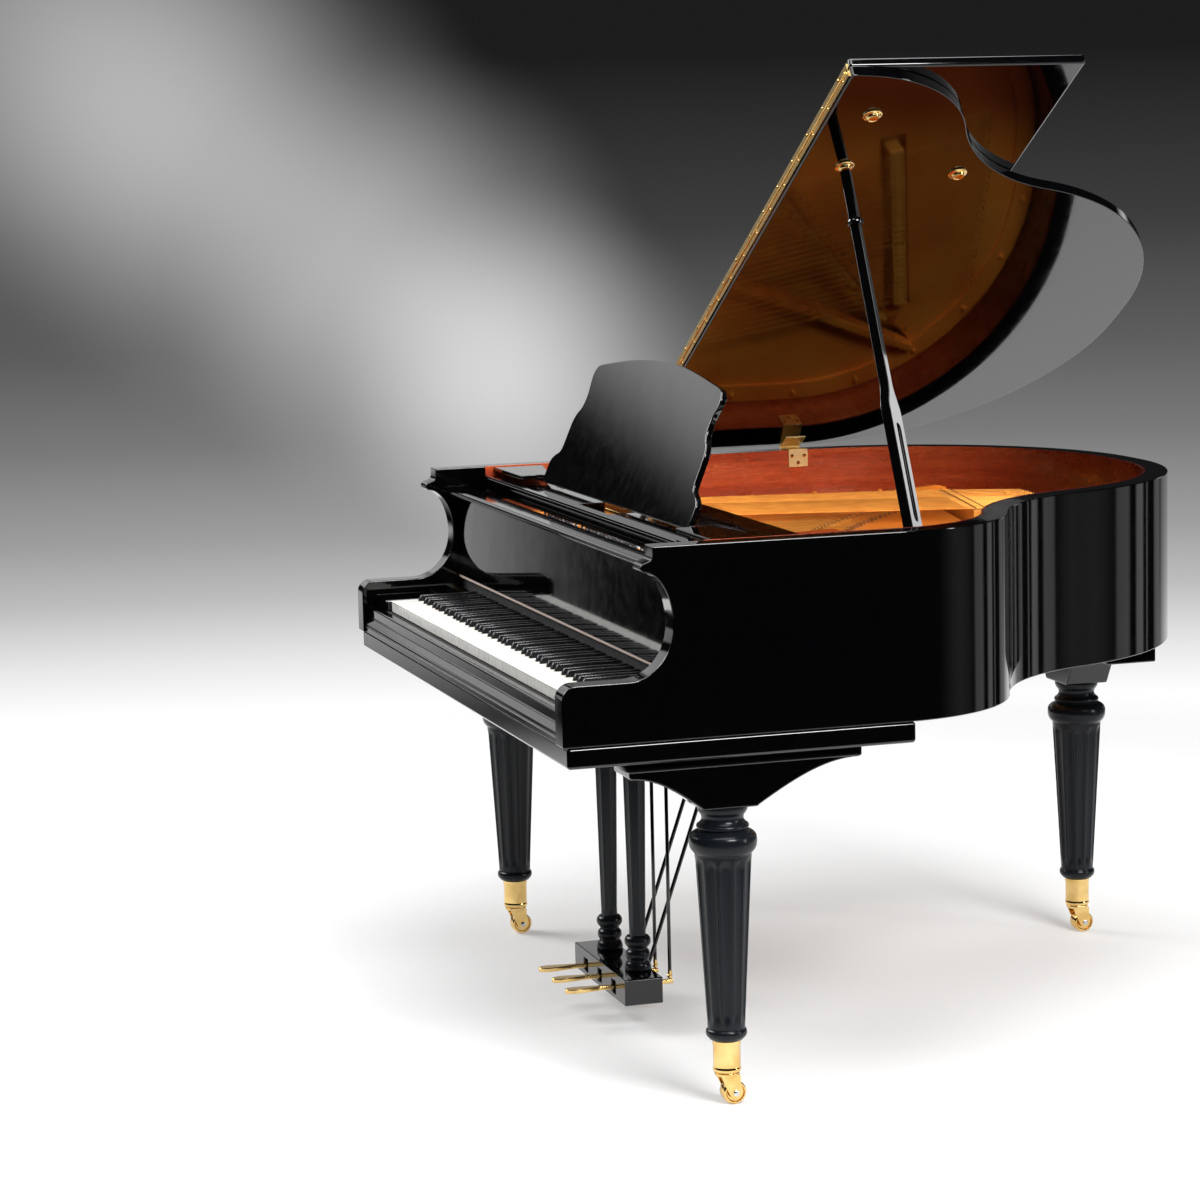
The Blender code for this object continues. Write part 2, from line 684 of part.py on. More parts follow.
def make_plate():
    """The cast iron frame: pin field, flange, hitch panel and the struts between sections."""
    edge = RIM_WALL + LINING + FIT + PLATE_GAP
    top = PLATE_BOTTOM + PLATE
    plate = slab("iron_plate", [inside(edge, PIN_BLOCK_Y)], PLATE_BOTTOM, top, IRON_GOLD)
    span = bridge_line(LONG_BRIDGE_NOTES, SPAN_BEYOND, 0.060)
    opening = [Vector((string_start(BASS_NOTES) - 0.030, SPAN_START)),
               along_string(BASS_NOTES, 0.25) - Vector((0.012, 0.0))] + span
    opening += [Vector((string_start(NOTE_COUNT - 1) + 0.020, SPAN_START))]
    bass_slot = [Vector((string_start(0) - 0.010, SPAN_START + 0.020)),
                 Vector((string_start(BASS_NOTES) - 0.028, SPAN_START + 0.020)),
                 Vector((string_start(BASS_NOTES) - 0.028, DAMPER_Y + 0.030)),
                 Vector((string_start(0) - 0.010, DAMPER_Y + 0.030))]
    around_bass = strip(bridge_line(BASS_BRIDGE_NOTES, 0.0, 0.034), BRIDGE_WIDTH / 2 + 0.014)
    low, high = PLATE_BOTTOM - 0.030, top + 0.030
    cut_by(plate, slab("plain_span", [opening], low, high, cutter=True),
           slab("damper_slot", [bass_slot], low, high, cutter=True),
           slab("bass_bridge_gap", [around_bass], low, high, cutter=True))
    flange = slab("flange", [band(edge, edge + FLANGE_WIDTH, BELLY_RAIL_Y)],
                  SOUNDBOARD_BOTTOM + SOUNDBOARD + FIT, FLANGE_TOP, cutter=True)
    joined(plate, flange)
    for number, note in enumerate(SECTION_STARTS):
        joined(plate, strut(number, note))
    return plate


def wires(name, notes, height, radius, length):
    """One square-sided wire for each note, from inside the agraffes to its hitch pin."""
    curve = bpy.data.curves.new(name, "CURVE")
    curve.dimensions = "3D"
    curve.bevel_depth = radius
    curve.bevel_resolution = 0
    curve.use_fill_caps = True
    for note in notes:
        spline = curve.splines.new("POLY")
        spline.points.add(1)
        for point, place in zip(spline.points, (along_string(note, 0.0), along_string(note, length(note)))):
            point.co = (place.x, place.y, height, 1.0)
    return welded(add(name, curve, None, cutter=True))


def make_strings():
    """The strings of each half, held by their row of agraffes."""
    made = []
    low = PLATE_BOTTOM + PLATE + FIT
    halves = (("plain_strings", range(BASS_NOTES, NOTE_COUNT), PLAIN_Z, PLAIN_RADIUS, STEEL,
               lambda note: speaking_length(note) + HITCH_AFTER),
              ("bass_strings", range(BASS_NOTES), BASS_Z, BASS_RADIUS, COPPER,
               lambda note: BASS_STRING))
    for name, notes, height, radius, surface, length in halves:
        left, right = string_start(notes[0]) - 0.006, string_start(notes[-1]) + 0.006
        agraffes = box(name, (left, AGRAFFE_Y - 0.004, low), (right, AGRAFFE_Y + 0.004, height + radius + 0.002),
                       surface)
        made.append(joined(agraffes, wires(f"{name}_wires", notes, height, radius, length)))
    return made


def make_dampers():
    """Damper heads on the strings, on wires that rise from the lifting tray behind the action."""
    heads, wire_corners = [], []
    half, wire = DAMPER_WIDTH / 2, DAMPER_WIRE / 2
    for note in range(DAMPER_COUNT):
        seat = BASS_Z + BASS_RADIUS if note < BASS_NOTES else PLAIN_Z + PLAIN_RADIUS
        middle, low = along_string(note, DAMPER_Y - AGRAFFE_Y), seat + FIT
        side = middle.x + BASS_RADIUS + DAMPER_WIRE
        heads.append(((middle.x - half, middle.y - DAMPER_LENGTH / 2, low),
                      (middle.x + half, middle.y + DAMPER_LENGTH / 2, low + DAMPER_HEIGHT)))
        wire_corners.append(((side - wire, middle.y - wire, DAMPER_TRAY_Z + 0.005),
                             (side + wire, middle.y + wire, low + 0.006)))
    left, right = heads[0][0][0], heads[-1][1][0]
    tray = box("dampers", (left, DAMPER_Y - 0.012, DAMPER_TRAY_Z), (right, DAMPER_Y + 0.012, DAMPER_TRAY_Z + 0.012),
               FELT)
    return joined(tray, boxes("damper_wires", wire_corners, None, cutter=True),
                  boxes("damper_heads", heads, None, cutter=True))


def make_front_woodwork():
    stretcher = box("stretcher", (-INNER_HALF + FIT, STRETCHER_Y, STRETCHER_BOTTOM),
                    (INNER_HALF - FIT, STRETCHER_Y + STRETCHER, STRETCHER_TOP), EBONY,
                    rounding=0.002)
    block = box("pin_block", (-INSIDE_HALF, PIN_BLOCK_Y, PIN_BLOCK_BOTTOM),
                (INSIDE_HALF, PIN_BLOCK_END, PLATE_BOTTOM - FIT), MAPLE)
    made = [stretcher, block]
    for name, side in (("bass", -1), ("treble", 1)):
        near, far = sorted((side * GUIDE_X, side * (INSIDE_HALF - FIT)))
        profile = [(STRETCHER_Y + STRETCHER + FIT, DESK_BOTTOM - FIT),
                   (STRETCHER_Y + STRETCHER + FIT, STRETCHER_TOP - 0.012),
                   (GUIDE_END, STRETCHER_TOP - 0.012), (GUIDE_END - 0.045, DESK_BOTTOM - FIT)]
        made.append(moulding(f"desk_guide_{name}", profile, near, far, EBONY))
    return made


# Keyboard and action

WHITE_CLASSES = (0, 2, 4, 5, 7, 9, 11)
SHARP_SHIFT = {1: -0.0018, 3: 0.0018, 6: -0.0026, 8: 0.0, 10: 0.0026}
FIRST_CLASS = 9


def keyboard():
    """Each key of the keyboard: its pitch class and the x of its middle."""
    keys, white = [], 0
    first = -26 * KEY_PITCH
    for note in range(NOTE_COUNT):
        kind = (note + FIRST_CLASS) % 12
        if kind in WHITE_CLASSES:
            keys.append((kind, first + KEY_PITCH * (white + 0.5)))
            white += 1
        else:
            keys.append((kind, first + KEY_PITCH * white + SHARP_SHIFT[kind]))
    return keys


def tooth(keys, index):
    """One key from above, from the join of the tails to its front and back."""
    kind, middle = keys[index]
    if kind not in WHITE_CLASSES:
        half, front = SHARP_WIDTH / 2, KEY_HEAD_END + KEY_GAP
        return [(middle - half, KEY_JOIN), (middle - half, front), (middle + half, front),
                (middle + half, KEY_JOIN)]
    left = middle - (KEY_PITCH - KEY_GAP) / 2
    right = middle + (KEY_PITCH - KEY_GAP) / 2
    room = SHARP_WIDTH / 2 + KEY_GAP
    outline = [(left, KEY_JOIN), (left, KEY_FRONT), (right, KEY_FRONT), (right, KEY_JOIN)]
    if index and keys[index - 1][0] not in WHITE_CLASSES:
        cut = keys[index - 1][1] + room
        outline[0:1] = [(cut, KEY_JOIN), (cut, KEY_HEAD_END), (left, KEY_HEAD_END)]
    if index + 1 < len(keys) and keys[index + 1][0] not in WHITE_CLASSES:
        cut = keys[index + 1][1] - room
        outline[-1:] = [(right, KEY_HEAD_END), (cut, KEY_HEAD_END), (cut, KEY_JOIN)]
    return outline


def sharp_tops(name, places):
    """The raised playing parts of black keys: narrower at the top, sloped at the front."""
    front = KEY_HEAD_END + KEY_GAP + 0.0004
    half = SHARP_WIDTH / 2 - 0.0004
    piece = boxes(name, [((x - half, front, KEY_TOP - 0.002), (x + half, SHARP_END, SHARP_TOP))
                         for x in places], None, cutter=True)
    for point in piece.data.vertices:
        if point.co.z > KEY_TOP and point.co.y < KEY_JOIN - 0.05:
            point.co.y += SHARP_SLOPE
    return piece


def make_keys(carrier):
    """The keys by octave: free where they are played, joined along their hidden tails."""
    keys = keyboard()
    for octave in range(OCTAVES):
        first = 0 if octave == 0 else 3 + 12 * octave
        last = NOTE_COUNT if octave == OCTAVES - 1 else 15 + 12 * octave
        members = range(first, last)
        outline = [point for i in members for point in tooth(keys, i)]
        outline += [(outline[-1][0], KEY_TAIL_END), (outline[0][0], KEY_TAIL_END)]
        name = f"keys_octave_{octave + 1}"
        piece = slab(name, [outline], KEY_BOTTOM, KEY_TOP, IVORY)
        tops = sharp_tops(f"{name}_sharps", [keys[i][1] for i in members if keys[i][0] not in WHITE_CLASSES])
        boolean(piece, tops, "UNION", "MANIFOLD")
        balance = pivot(f"pivot_{name}", (0.0, 0.0, KEY_BOTTOM - RIM_BOTTOM), parent=carrier)
        hang(balance, piece, tops)


def make_action():
    """The key frame under the keys, with its balance and back rails."""
    half = 26 * KEY_PITCH
    floor = RIM_BOTTOM + FIT
    seat = KEY_BOTTOM - FIT
    near, far, height = FRONT_RAIL
    frame = box("key_frame", (-half, near, floor), (half, far, height), MAPLE)
    balance = [(BALANCE_Y - 0.022, floor), (BALANCE_Y + 0.022, floor), (BALANCE_Y + 0.022, 0.700),
               (BALANCE_Y + 0.003, seat), (BALANCE_Y - 0.003, seat), (BALANCE_Y - 0.022, 0.700)]
    parts = [moulding("balance_rail", balance, -half, half, cutter=True),
             box("back_rail", (-half, 0.385, floor), (half, 0.435, seat), cutter=True)]
    for number, x in enumerate((-0.585, -0.20, 0.20, 0.585)):
        parts.append(box(f"frame_bar_{number}", (x - 0.020, 0.060, floor - 0.00005),
                         (x + 0.020, 0.420, 0.681), cutter=True))
    joined(frame, *parts)
    return frame


# Fallboard

def make_fallboard():
    axis = pivot("pivot_fallboard", (0.0, FALL_HINGE_Y, FALL_HINGE_Z), parent=CASE)
    front = FALL_HINGE_Y - 0.001
    back = front + FALL_BOARD
    round_end = [(FALL_HINGE_Y + FALL_BARREL * cos(a), FALL_HINGE_Z + FALL_BARREL * sin(a))
                 for a in (radians(180 + 30 * i) for i in range(7))]
    lip_back = FALL_LIP_Y + FALL_LIP
    profile = round_end + [(back, FALL_HINGE_Z + 0.012), (back, FALL_TOP - 0.004),
                           (back - 0.004, FALL_TOP), (FALL_LIP_Y + 0.005, FALL_TOP),
                           (FALL_LIP_Y + 0.001, FALL_TOP - 0.003),
                           (FALL_LIP_Y, FALL_TOP - 0.007), (FALL_LIP_Y + 0.001, FALL_TOP - 0.011),
                           (FALL_LIP_Y + 0.005, FALL_TOP - 0.014), (lip_back, FALL_TOP - 0.014),
                           (front - 0.004, FALL_TOP - 0.017), (front, FALL_TOP - 0.022)]
    board = moulding("fallboard", profile, -INNER_HALF + SWING_GAP, INNER_HALF - SWING_GAP, EBONY)
    reach = INNER_HALF - FIT
    pins = rod("fallboard_pins", [(-reach, FALL_HINGE_Y, FALL_HINGE_Z), (reach, FALL_HINGE_Y, FALL_HINGE_Z)],
               FALL_PIN, None, fineness=1, cutter=True)
    joined(board, pins)
    hang(axis, board, pins)


# Lid, flap and their brass

def lid_outline():
    """The main lid in its own frame: x from the hinge line, the front edge at LID_FRONT."""
    line = [point - Vector((LID_PIVOT.x, 0.0)) for point in case_line(-LID_OVERHANG, LID_FRONT)]
    hinge_edge = LID_PIVOT_OUT
    return [Vector((max(point.x, hinge_edge), point.y)) for point in line]


def make_lid():
    """The main lid with its cups and hinge leaves, and the front flap folded back on it."""
    axis = pivot("pivot_lid", LID_PIVOT, (0.0, -LID_ANGLE, 0.0), CASE)
    lid = slab("main_lid", [lid_outline()], FIT, LID, EBONY)
    far = LID_PIVOT_OUT + CASE_WIDTH
    hardware = []
    for number, (reach, y) in enumerate((PROP_CUP, *SPARE_CUPS)):
        cup = [(0.0, 0.004), (CUP_RADIUS, 0.004), (CUP_RADIUS, -0.003),
               (CUP_RADIUS * 0.6, -CUP_HEIGHT), (0.0, -CUP_HEIGHT)]
        hardware.append(turned(f"cup_{number}", cup, 12, None, (reach, y, 0.0), cutter=True))
    for number, y in enumerate(LID_HINGE_PLACES):
        half = LID_HINGE_LENGTH / 2
        hardware.append(box(f"lid_leaf_{number}", (0.008, y - half, -LEAF), (0.046, y + half, 0.004), cutter=True))
    barrel_y, barrel_z = FLAP_HINGE_Y, LID + FIT
    hardware.append(rod("flap_barrel", [(0.010, barrel_y, barrel_z), (far - 0.010, barrel_y, barrel_z)],
                        PIANO_HINGE, None, fineness=1, cutter=True))
    hardware.append(box("flap_leaf", (0.010, barrel_y + 0.0005, LID - 0.0120),
                        (far - 0.010, LID_FRONT + 0.002, LID - 0.0005), cutter=True))
    bevel(lid, 0.004)
    joined(lid, *hardware)
    ride(axis, lid, *hardware)
    flap_axis = pivot("pivot_flap", (0.0, FLAP_HINGE_Y, LID + FIT), parent=axis)
    near = LID_FRONT - FLAP_HINGE_Y
    flap = box("front_flap", (LID_PIVOT_OUT, near, FIT), (far, near + FLAP_DEPTH, FIT + FLAP),
               EBONY, rounding=0.004)
    ride(flap_axis, flap)


def make_case_hinges():
    """The rim's half of each lid hinge: a barrel, and a leaf over the rim and down inside it."""
    made = []
    for name, y in zip(("front", "rear"), LID_HINGE_PLACES):
        half = LID_HINGE_LENGTH / 2
        hinge = rod(f"lid_hinge_{name}", [(LID_PIVOT.x, y - half, LID_PIVOT.z),
                                          (LID_PIVOT.x, y + half, LID_PIVOT.z)],
                    HINGE_BARREL, BRASS, fineness=1)
        inner = -INSIDE_HALF + FIT
        top = RIM_TOP + FIT + LEAF
        leaf = [(LID_PIVOT.x - 0.001, top), (LID_PIVOT.x - 0.001, RIM_TOP + FIT), (inner, RIM_TOP + FIT),
                (inner, RIM_TOP - LEAF_DROP), (inner + LEAF, RIM_TOP - LEAF_DROP), (inner + LEAF, top)]
        curve = flat_curve(f"leaf_{name}", [leaf], LID_HINGE_LENGTH - 0.002)
        joined(hinge, welded(add(f"leaf_{name}", curve, None, (0.0, y, 0.0), (pi / 2, 0.0, 0.0), cutter=True)))
        made.append(hinge)
    return made


# Props

def prop_frame():
    """Direction of the long prop, its length and the axis that it folds about."""
    cup = Vector((PROP_CUP[0], PROP_CUP[1], -CUP_HEIGHT - 2 * FIT))
    lid_turn = Matrix.Rotation(-LID_ANGLE, 3, "Y")
    tip = LID_PIVOT + lid_turn @ cup
    along = tip - PROP_BASE
    up = along.normalized()
    axis = up.cross(PROP_FOLD.normalized()).normalized()
    return up, along.length, axis


def make_props():
    up, length, axis = prop_frame()
    across = up.cross(axis)
    basis = Matrix((axis, across, up)).transposed()
    carrier = pivot("pivot_prop", PROP_BASE, basis.to_euler(), CASE)
    wide, slim, shoulder = PROP_WIDE / 2, PROP_SLIM / 2, PROP_SHOULDER
    ogee = [(wide - (wide - slim) * (1 - cos(pi * i / 6)) / 2, shoulder + 0.060 * i / 6)
            for i in range(7)]
    side = [(wide * 0.35, -0.014), (wide * 0.85, -0.008), (wide, 0.006)] + ogee + [(slim * 0.62, length)]
    outline = side + [(-x, z) for x, z in reversed(side)]
    curve = flat_curve("long_prop", [outline], PROP_THICK)
    stick = welded(add("long_prop", curve, EBONY, turn=(pi / 2, 0.0, pi / 2)))
    half_slot = SHORT_PROP_WIDTH / 2 + 0.0020
    foot, top = SHORT_PROP_FOOT - 0.014, SHORT_PROP_FOOT + SHORT_PROP + 0.006
    slot = box("prop_slot", (-0.050, -half_slot, foot), (0.050, half_slot, top), cutter=True)
    pin = turned("prop_pin_hole", [(0.0, 0.1), (0.0045, 0.1), (0.0045, -0.1), (0.0, -0.1)], 10,
                 turn=(0.0, pi / 2, 0.0), cutter=True)
    collar = turned("prop_collar", [(0.0, 0.012), (0.013, 0.012), (0.015, 0.006), (0.013, 0.0),
                                    (0.0, 0.0)], 12, place=(0.0, 0.0, length - 0.115), cutter=True)
    cut_by(stick, slot, pin)
    joined(stick, collar)
    bevel(stick, 0.0025)
    ride(carrier, stick, slot, pin, collar)
    short_axis = pivot("pivot_short_prop", (0.0, 0.0, SHORT_PROP_FOOT), parent=carrier)
    half = SHORT_PROP_WIDTH / 2
    short = box("short_prop", (-PROP_THICK / 2, -half, -0.008),
                (PROP_THICK / 2 - 0.001, half, SHORT_PROP), EBONY, rounding=0.002)
    hinge = turned("short_prop_pin", [(0.0, half_slot - FIT), (0.003, half_slot - FIT),
                                      (0.003, -half_slot + FIT), (0.0, -half_slot + FIT)], 8,
                   turn=(pi / 2, 0.0, 0.0), cutter=True)
    joined(short, hinge)
    ride(short_axis, short, hinge)
    return carrier


def make_prop_bracket():
    """The pin that the prop turns on, between two collars, on a plate inside the rim."""
    up, length, axis = prop_frame()
    basis = Matrix((axis, up.cross(axis), up)).transposed().to_4x4()
    reach = PROP_THICK / 2 + 0.0008
    bend = BENDS[0][0]
    centre = Vector((CASE_WIDTH / 2 - bend, SIDE_STRAIGHT))
    wall = bend - RIM_WALL - LINING - 2 * FIT - PLATE_SEAT
    out, away = -axis.xy, PROP_BASE.xy - centre
    half_b, square = out.dot(away), out.length_squared
    stem = (-half_b + sqrt(half_b ** 2 - square * (away.length_squared - wall ** 2))) / square
    root = PROP_BASE - axis * stem
    stem -= 0.004
    pin = [(0.0, reach + 0.003), (0.0060, reach + 0.003), (0.0070, reach), (0.0040, reach),
           (0.0040, -reach), (0.0075, -reach), (0.0075, -reach - 0.003), (0.0045, -reach - 0.004),
           (0.0045, -stem), (0.0, -stem)]
    pivot_pin = turned("prop_bracket", pin, 10, BRASS)
    pivot_pin.matrix_basis = Matrix.Translation(PROP_BASE) @ basis @ Matrix.Rotation(pi / 2, 4, "Y")
    plate = box("prop_bracket_plate", (-0.0070, -0.016, -0.015), (0.0, 0.016, 0.013), cutter=True)
    facing = atan2(root.y - centre.y, root.x - centre.x)
    plate.matrix_basis = (Matrix.Translation(root) @ Matrix.Rotation(facing, 4, "Z")
                          @ plate.matrix_basis)
    return joined(pivot_pin, plate)


# Music desk

def desk_panel_side():
    """Right half of the music desk from its foot to the middle of the top: (x, height)."""
    foot = [(0.455, -0.012), (0.460, 0.006), (0.458, 0.034)]
    step = [(0.440, 0.048), (0.420, 0.056), (0.412, 0.068), (0.410, 0.100), (0.408, 0.122)]
    waist = [(0.398, 0.140), (0.383, 0.152), (0.376, 0.168), (0.376, 0.186), (0.382, 0.204)]
    shoulder = [(0.386, 0.222), (0.380, 0.236), (0.362, 0.246)]
    crown = [(0.362 * (1 - i / 6), 0.246 + 0.031 * sin(pi / 2 * i / 6)) for i in range(1, 6)]
    return foot + step + waist + shoulder + crown + [(0.0, 0.277)]


def strut_line():
    """Length of the desk's strut, and its angle from the panel, with its end on the rear rail."""
    start = Vector((DESK_HINGE_Y + STRUT_AT * sin(DESK_LEAN), DESK_HINGE_Z + STRUT_AT * cos(DESK_LEAN)))
    start += (STRUT_THICK / 2 + 0.001) * Vector((cos(DESK_LEAN), -sin(DESK_LEAN)))
    ledge = DESK_REAR - DESK_REAR_RAIL - FIT - 0.40 * STRUT_THICK
    foot = Vector((ledge, DESK_TOP - 0.004))
    return (foot - start).length, atan2(foot.x - start.x, start.y - foot.y) + DESK_LEAN


def make_desk():
    slide = pivot("pivot_desk_slide", (0.0, DESK_FRONT, DESK_BOTTOM), parent=CASE)
    opening = DESK_HALF - DESK_SIDE
    frame = box("desk_frame", (-DESK_HALF, DESK_FRONT, DESK_BOTTOM), (DESK_HALF, DESK_REAR, DESK_TOP), EBONY)
    hole = box("desk_opening", (-opening, DESK_SHELF_END, DESK_BOTTOM - 0.02),
               (opening, DESK_REAR - DESK_REAR_RAIL, DESK_TOP + 0.02), cutter=True)
    notch = box("desk_notch", (-STRUT_HALF - 0.010, DESK_NOTCH_Y, DESK_BOTTOM - 0.02),
                (STRUT_HALF + 0.010, DESK_SHELF_END + 0.001, DESK_TOP + 0.02), cutter=True)
    lip_half = GUIDE_X - SWING_GAP
    lip = box("desk_lip", (-lip_half, DESK_FRONT + 0.0005, DESK_BOTTOM - DESK_LIP),
              (lip_half, DESK_FRONT + 0.012, DESK_BOTTOM + 0.002), cutter=True)
    bead = box("desk_bead", (-DESK_HALF + 0.001, DESK_FRONT + 0.001, DESK_TOP - 0.002),
               (DESK_HALF - 0.001, DESK_FRONT + 0.011, DESK_RAIL_FACE), cutter=True)
    cut_by(frame, hole, notch)
    joined(frame, lip, bead)
    bevel(frame, 0.0015)
    hang(slide, frame, hole, notch, lip, bead)
    tilt = pivot("pivot_music_desk", (0.0, DESK_HINGE_Y - DESK_FRONT, DESK_HINGE_Z - DESK_BOTTOM),
                 (-DESK_LEAN, 0.0, 0.0), slide)
    side = desk_panel_side()
    outline = side + [(-x, z) for x, z in reversed(side[:-1])]
    curve = flat_curve("music_desk", [outline], DESK_PANEL)
    panel = welded(add("music_desk", curve, EBONY, (0.0, -DESK_PANEL / 2, 0.0), (pi / 2, 0.0, 0.0)))
    bevel(panel, 0.0020)
    knuckles = []
    for number, x in enumerate((-0.36, 0.36)):
        knuckle = box(f"desk_knuckle_{number}", (x - 0.025, -0.004, -0.0132), (x + 0.025, 0.003, 0.004),
                      cutter=True)
        knuckles.append(knuckle)
    joined(panel, *knuckles)
    ride(tilt, panel, *knuckles)
    swing = pivot("pivot_desk_struts", (0.0, STRUT_THICK / 2 + 0.001, STRUT_AT), parent=tilt)
    reach, spread = strut_line()
    strut = box("desk_strut", (-STRUT_HALF, -STRUT_THICK / 2, -reach), (STRUT_HALF, STRUT_THICK / 2, 0.002), EBONY)
    gap = box("strut_window", (-STRUT_HALF + 0.022, -0.02, -reach + 0.030), (STRUT_HALF - 0.022, 0.02, -0.024),
              cutter=True)
    turn = Matrix.Rotation(spread, 4, "X")
    for piece in (strut, gap):
        piece.matrix_basis = turn @ piece.matrix_basis
    cut_by(strut, gap)
    bevel(strut, 0.0010)
    ride(swing, strut, gap)
    return slide


# Legs, brackets and casters

def fluted_shaft(name, place, top, bottom, flutes, depth):
    """A tapered column: a scalloped ring carried up a straight line that narrows it."""
    ring = bpy.data.curves.new(f"{name}_ring", "CURVE")
    ring.dimensions = "2D"
    spline = ring.splines.new("POLY")
    count = flutes * 4
    spline.points.add(count - 1)
    hollow = (1.0, 1.0 - depth * 0.75, 1.0 - depth, 1.0 - depth * 0.75)
    for i, point in enumerate(spline.points):
        reach, angle = hollow[i % 4], 2 * pi * i / count
        point.co = (reach * cos(angle), reach * sin(angle), 0.0, 1.0)
    spline.use_cyclic_u = True
    guide = add(f"{name}_ring", ring, None, cutter=True)
    path = bpy.data.curves.new(name, "CURVE")
    path.dimensions = "3D"
    path.bevel_mode = "OBJECT"
    path.bevel_object = guide
    path.use_fill_caps = True
    line = path.splines.new("POLY")
    line.points.add(1)
    for point, (height, radius) in zip(line.points, (bottom, top)):
        point.co = (0.0, 0.0, height, 1.0)
        point.radius = radius
    return welded(add(name, path, None, place, cutter=True))


def make_leg(name, x, y):
    """A turned and fluted leg: ankle ring, fluted taper, two collar rings and a neck."""
    place = (x, y, 0.0)
    high, low = SHAFT_TOP, SHAFT_BOTTOM
    collar = [(0.0, LEG_TOP - FIT), (0.056, LEG_TOP - FIT), (0.055, 0.520), (0.043, 0.512),
              (0.041, 0.502), (0.050, 0.498), (0.050, 0.486), (0.055, 0.482),
              (0.0615, 0.472), (0.0615, 0.462), (0.055, 0.451),
              (high[1] + 0.002, 0.447), (high[1], high[0] - 0.012), (0.0, high[0] - 0.012)]
    ankle = [(0.0, low[0] + 0.010), (low[1] + 0.0005, low[0] + 0.010), (low[1] + 0.001, low[0]),
             (0.0355, low[0] - 0.005), (0.0360, low[0] - 0.011), (0.0330, low[0] - 0.017),
             (0.0280, 0.1155), (0.0, 0.1155)]
    leg = turned(name, collar, 16, EBONY, place)
    shaft = fluted_shaft(f"{name}_shaft", place, (high[0] - 0.004, high[1]),
                         (low[0] + 0.002, low[1]), FLUTES, FLUTE_DEPTH)
    foot = turned(f"{name}_ankle", ankle, 16, place=place, cutter=True)
    return joined(leg, shaft, foot)


def bracket_arm(name, place, turn, top, reach):
    """One ogee arm of a leg bracket, as a profile from the leg out to its tip."""
    rise = top - LEG_TOP
    tip = top - 0.020
    curve = [(0.052 + (reach - 0.052) * i / 8,
              LEG_TOP + 0.006 + (tip - LEG_TOP - 0.006) * (i / 8 - sin(2 * pi * i / 8) / (2 * pi)))
             for i in range(9)]
    lower = [(-BRACKET_HALF, LEG_TOP), (0.050, LEG_TOP)]
    profile = lower + curve + [(reach + 0.008, tip + 0.004), (reach + 0.008, top), (-BRACKET_HALF, top)]
    shape = flat_curve(name, [profile], 2 * BRACKET_HALF - 0.012 * rise / rise)
    return welded(add(name, shape, None, place, (pi / 2, 0.0, turn), cutter=True))


def make_brackets():
    """The ogee brackets that the legs screw into: two arms each in front, a short pair behind."""
    whole = []
    corners = (("bass", -FRONT_LEG_X, FRONT_LEG_Y, (0.0, pi / 2), KEYBED_BOTTOM, BRACKET_REACH),
               ("treble", FRONT_LEG_X, FRONT_LEG_Y, (pi, pi / 2), KEYBED_BOTTOM, BRACKET_REACH),
               ("tail", *TAIL_LEG, (pi, 0.0), RIM_BOTTOM, 0.150))
    for name, x, y, turns, top, reach in corners:
        half = BRACKET_HALF + 0.003
        block = box(f"leg_bracket_{name}", (x - half, y - half, LEG_TOP + 0.012),
                    (x + half, y + half, top - FIT), EBONY)
        arms = [bracket_arm(f"bracket_{name}_{i}", (x, y, 0.0), turn, top - FIT - 0.0001, reach)
                for i, turn in enumerate(turns)]
        whole.append(joined(block, *arms))
    return whole


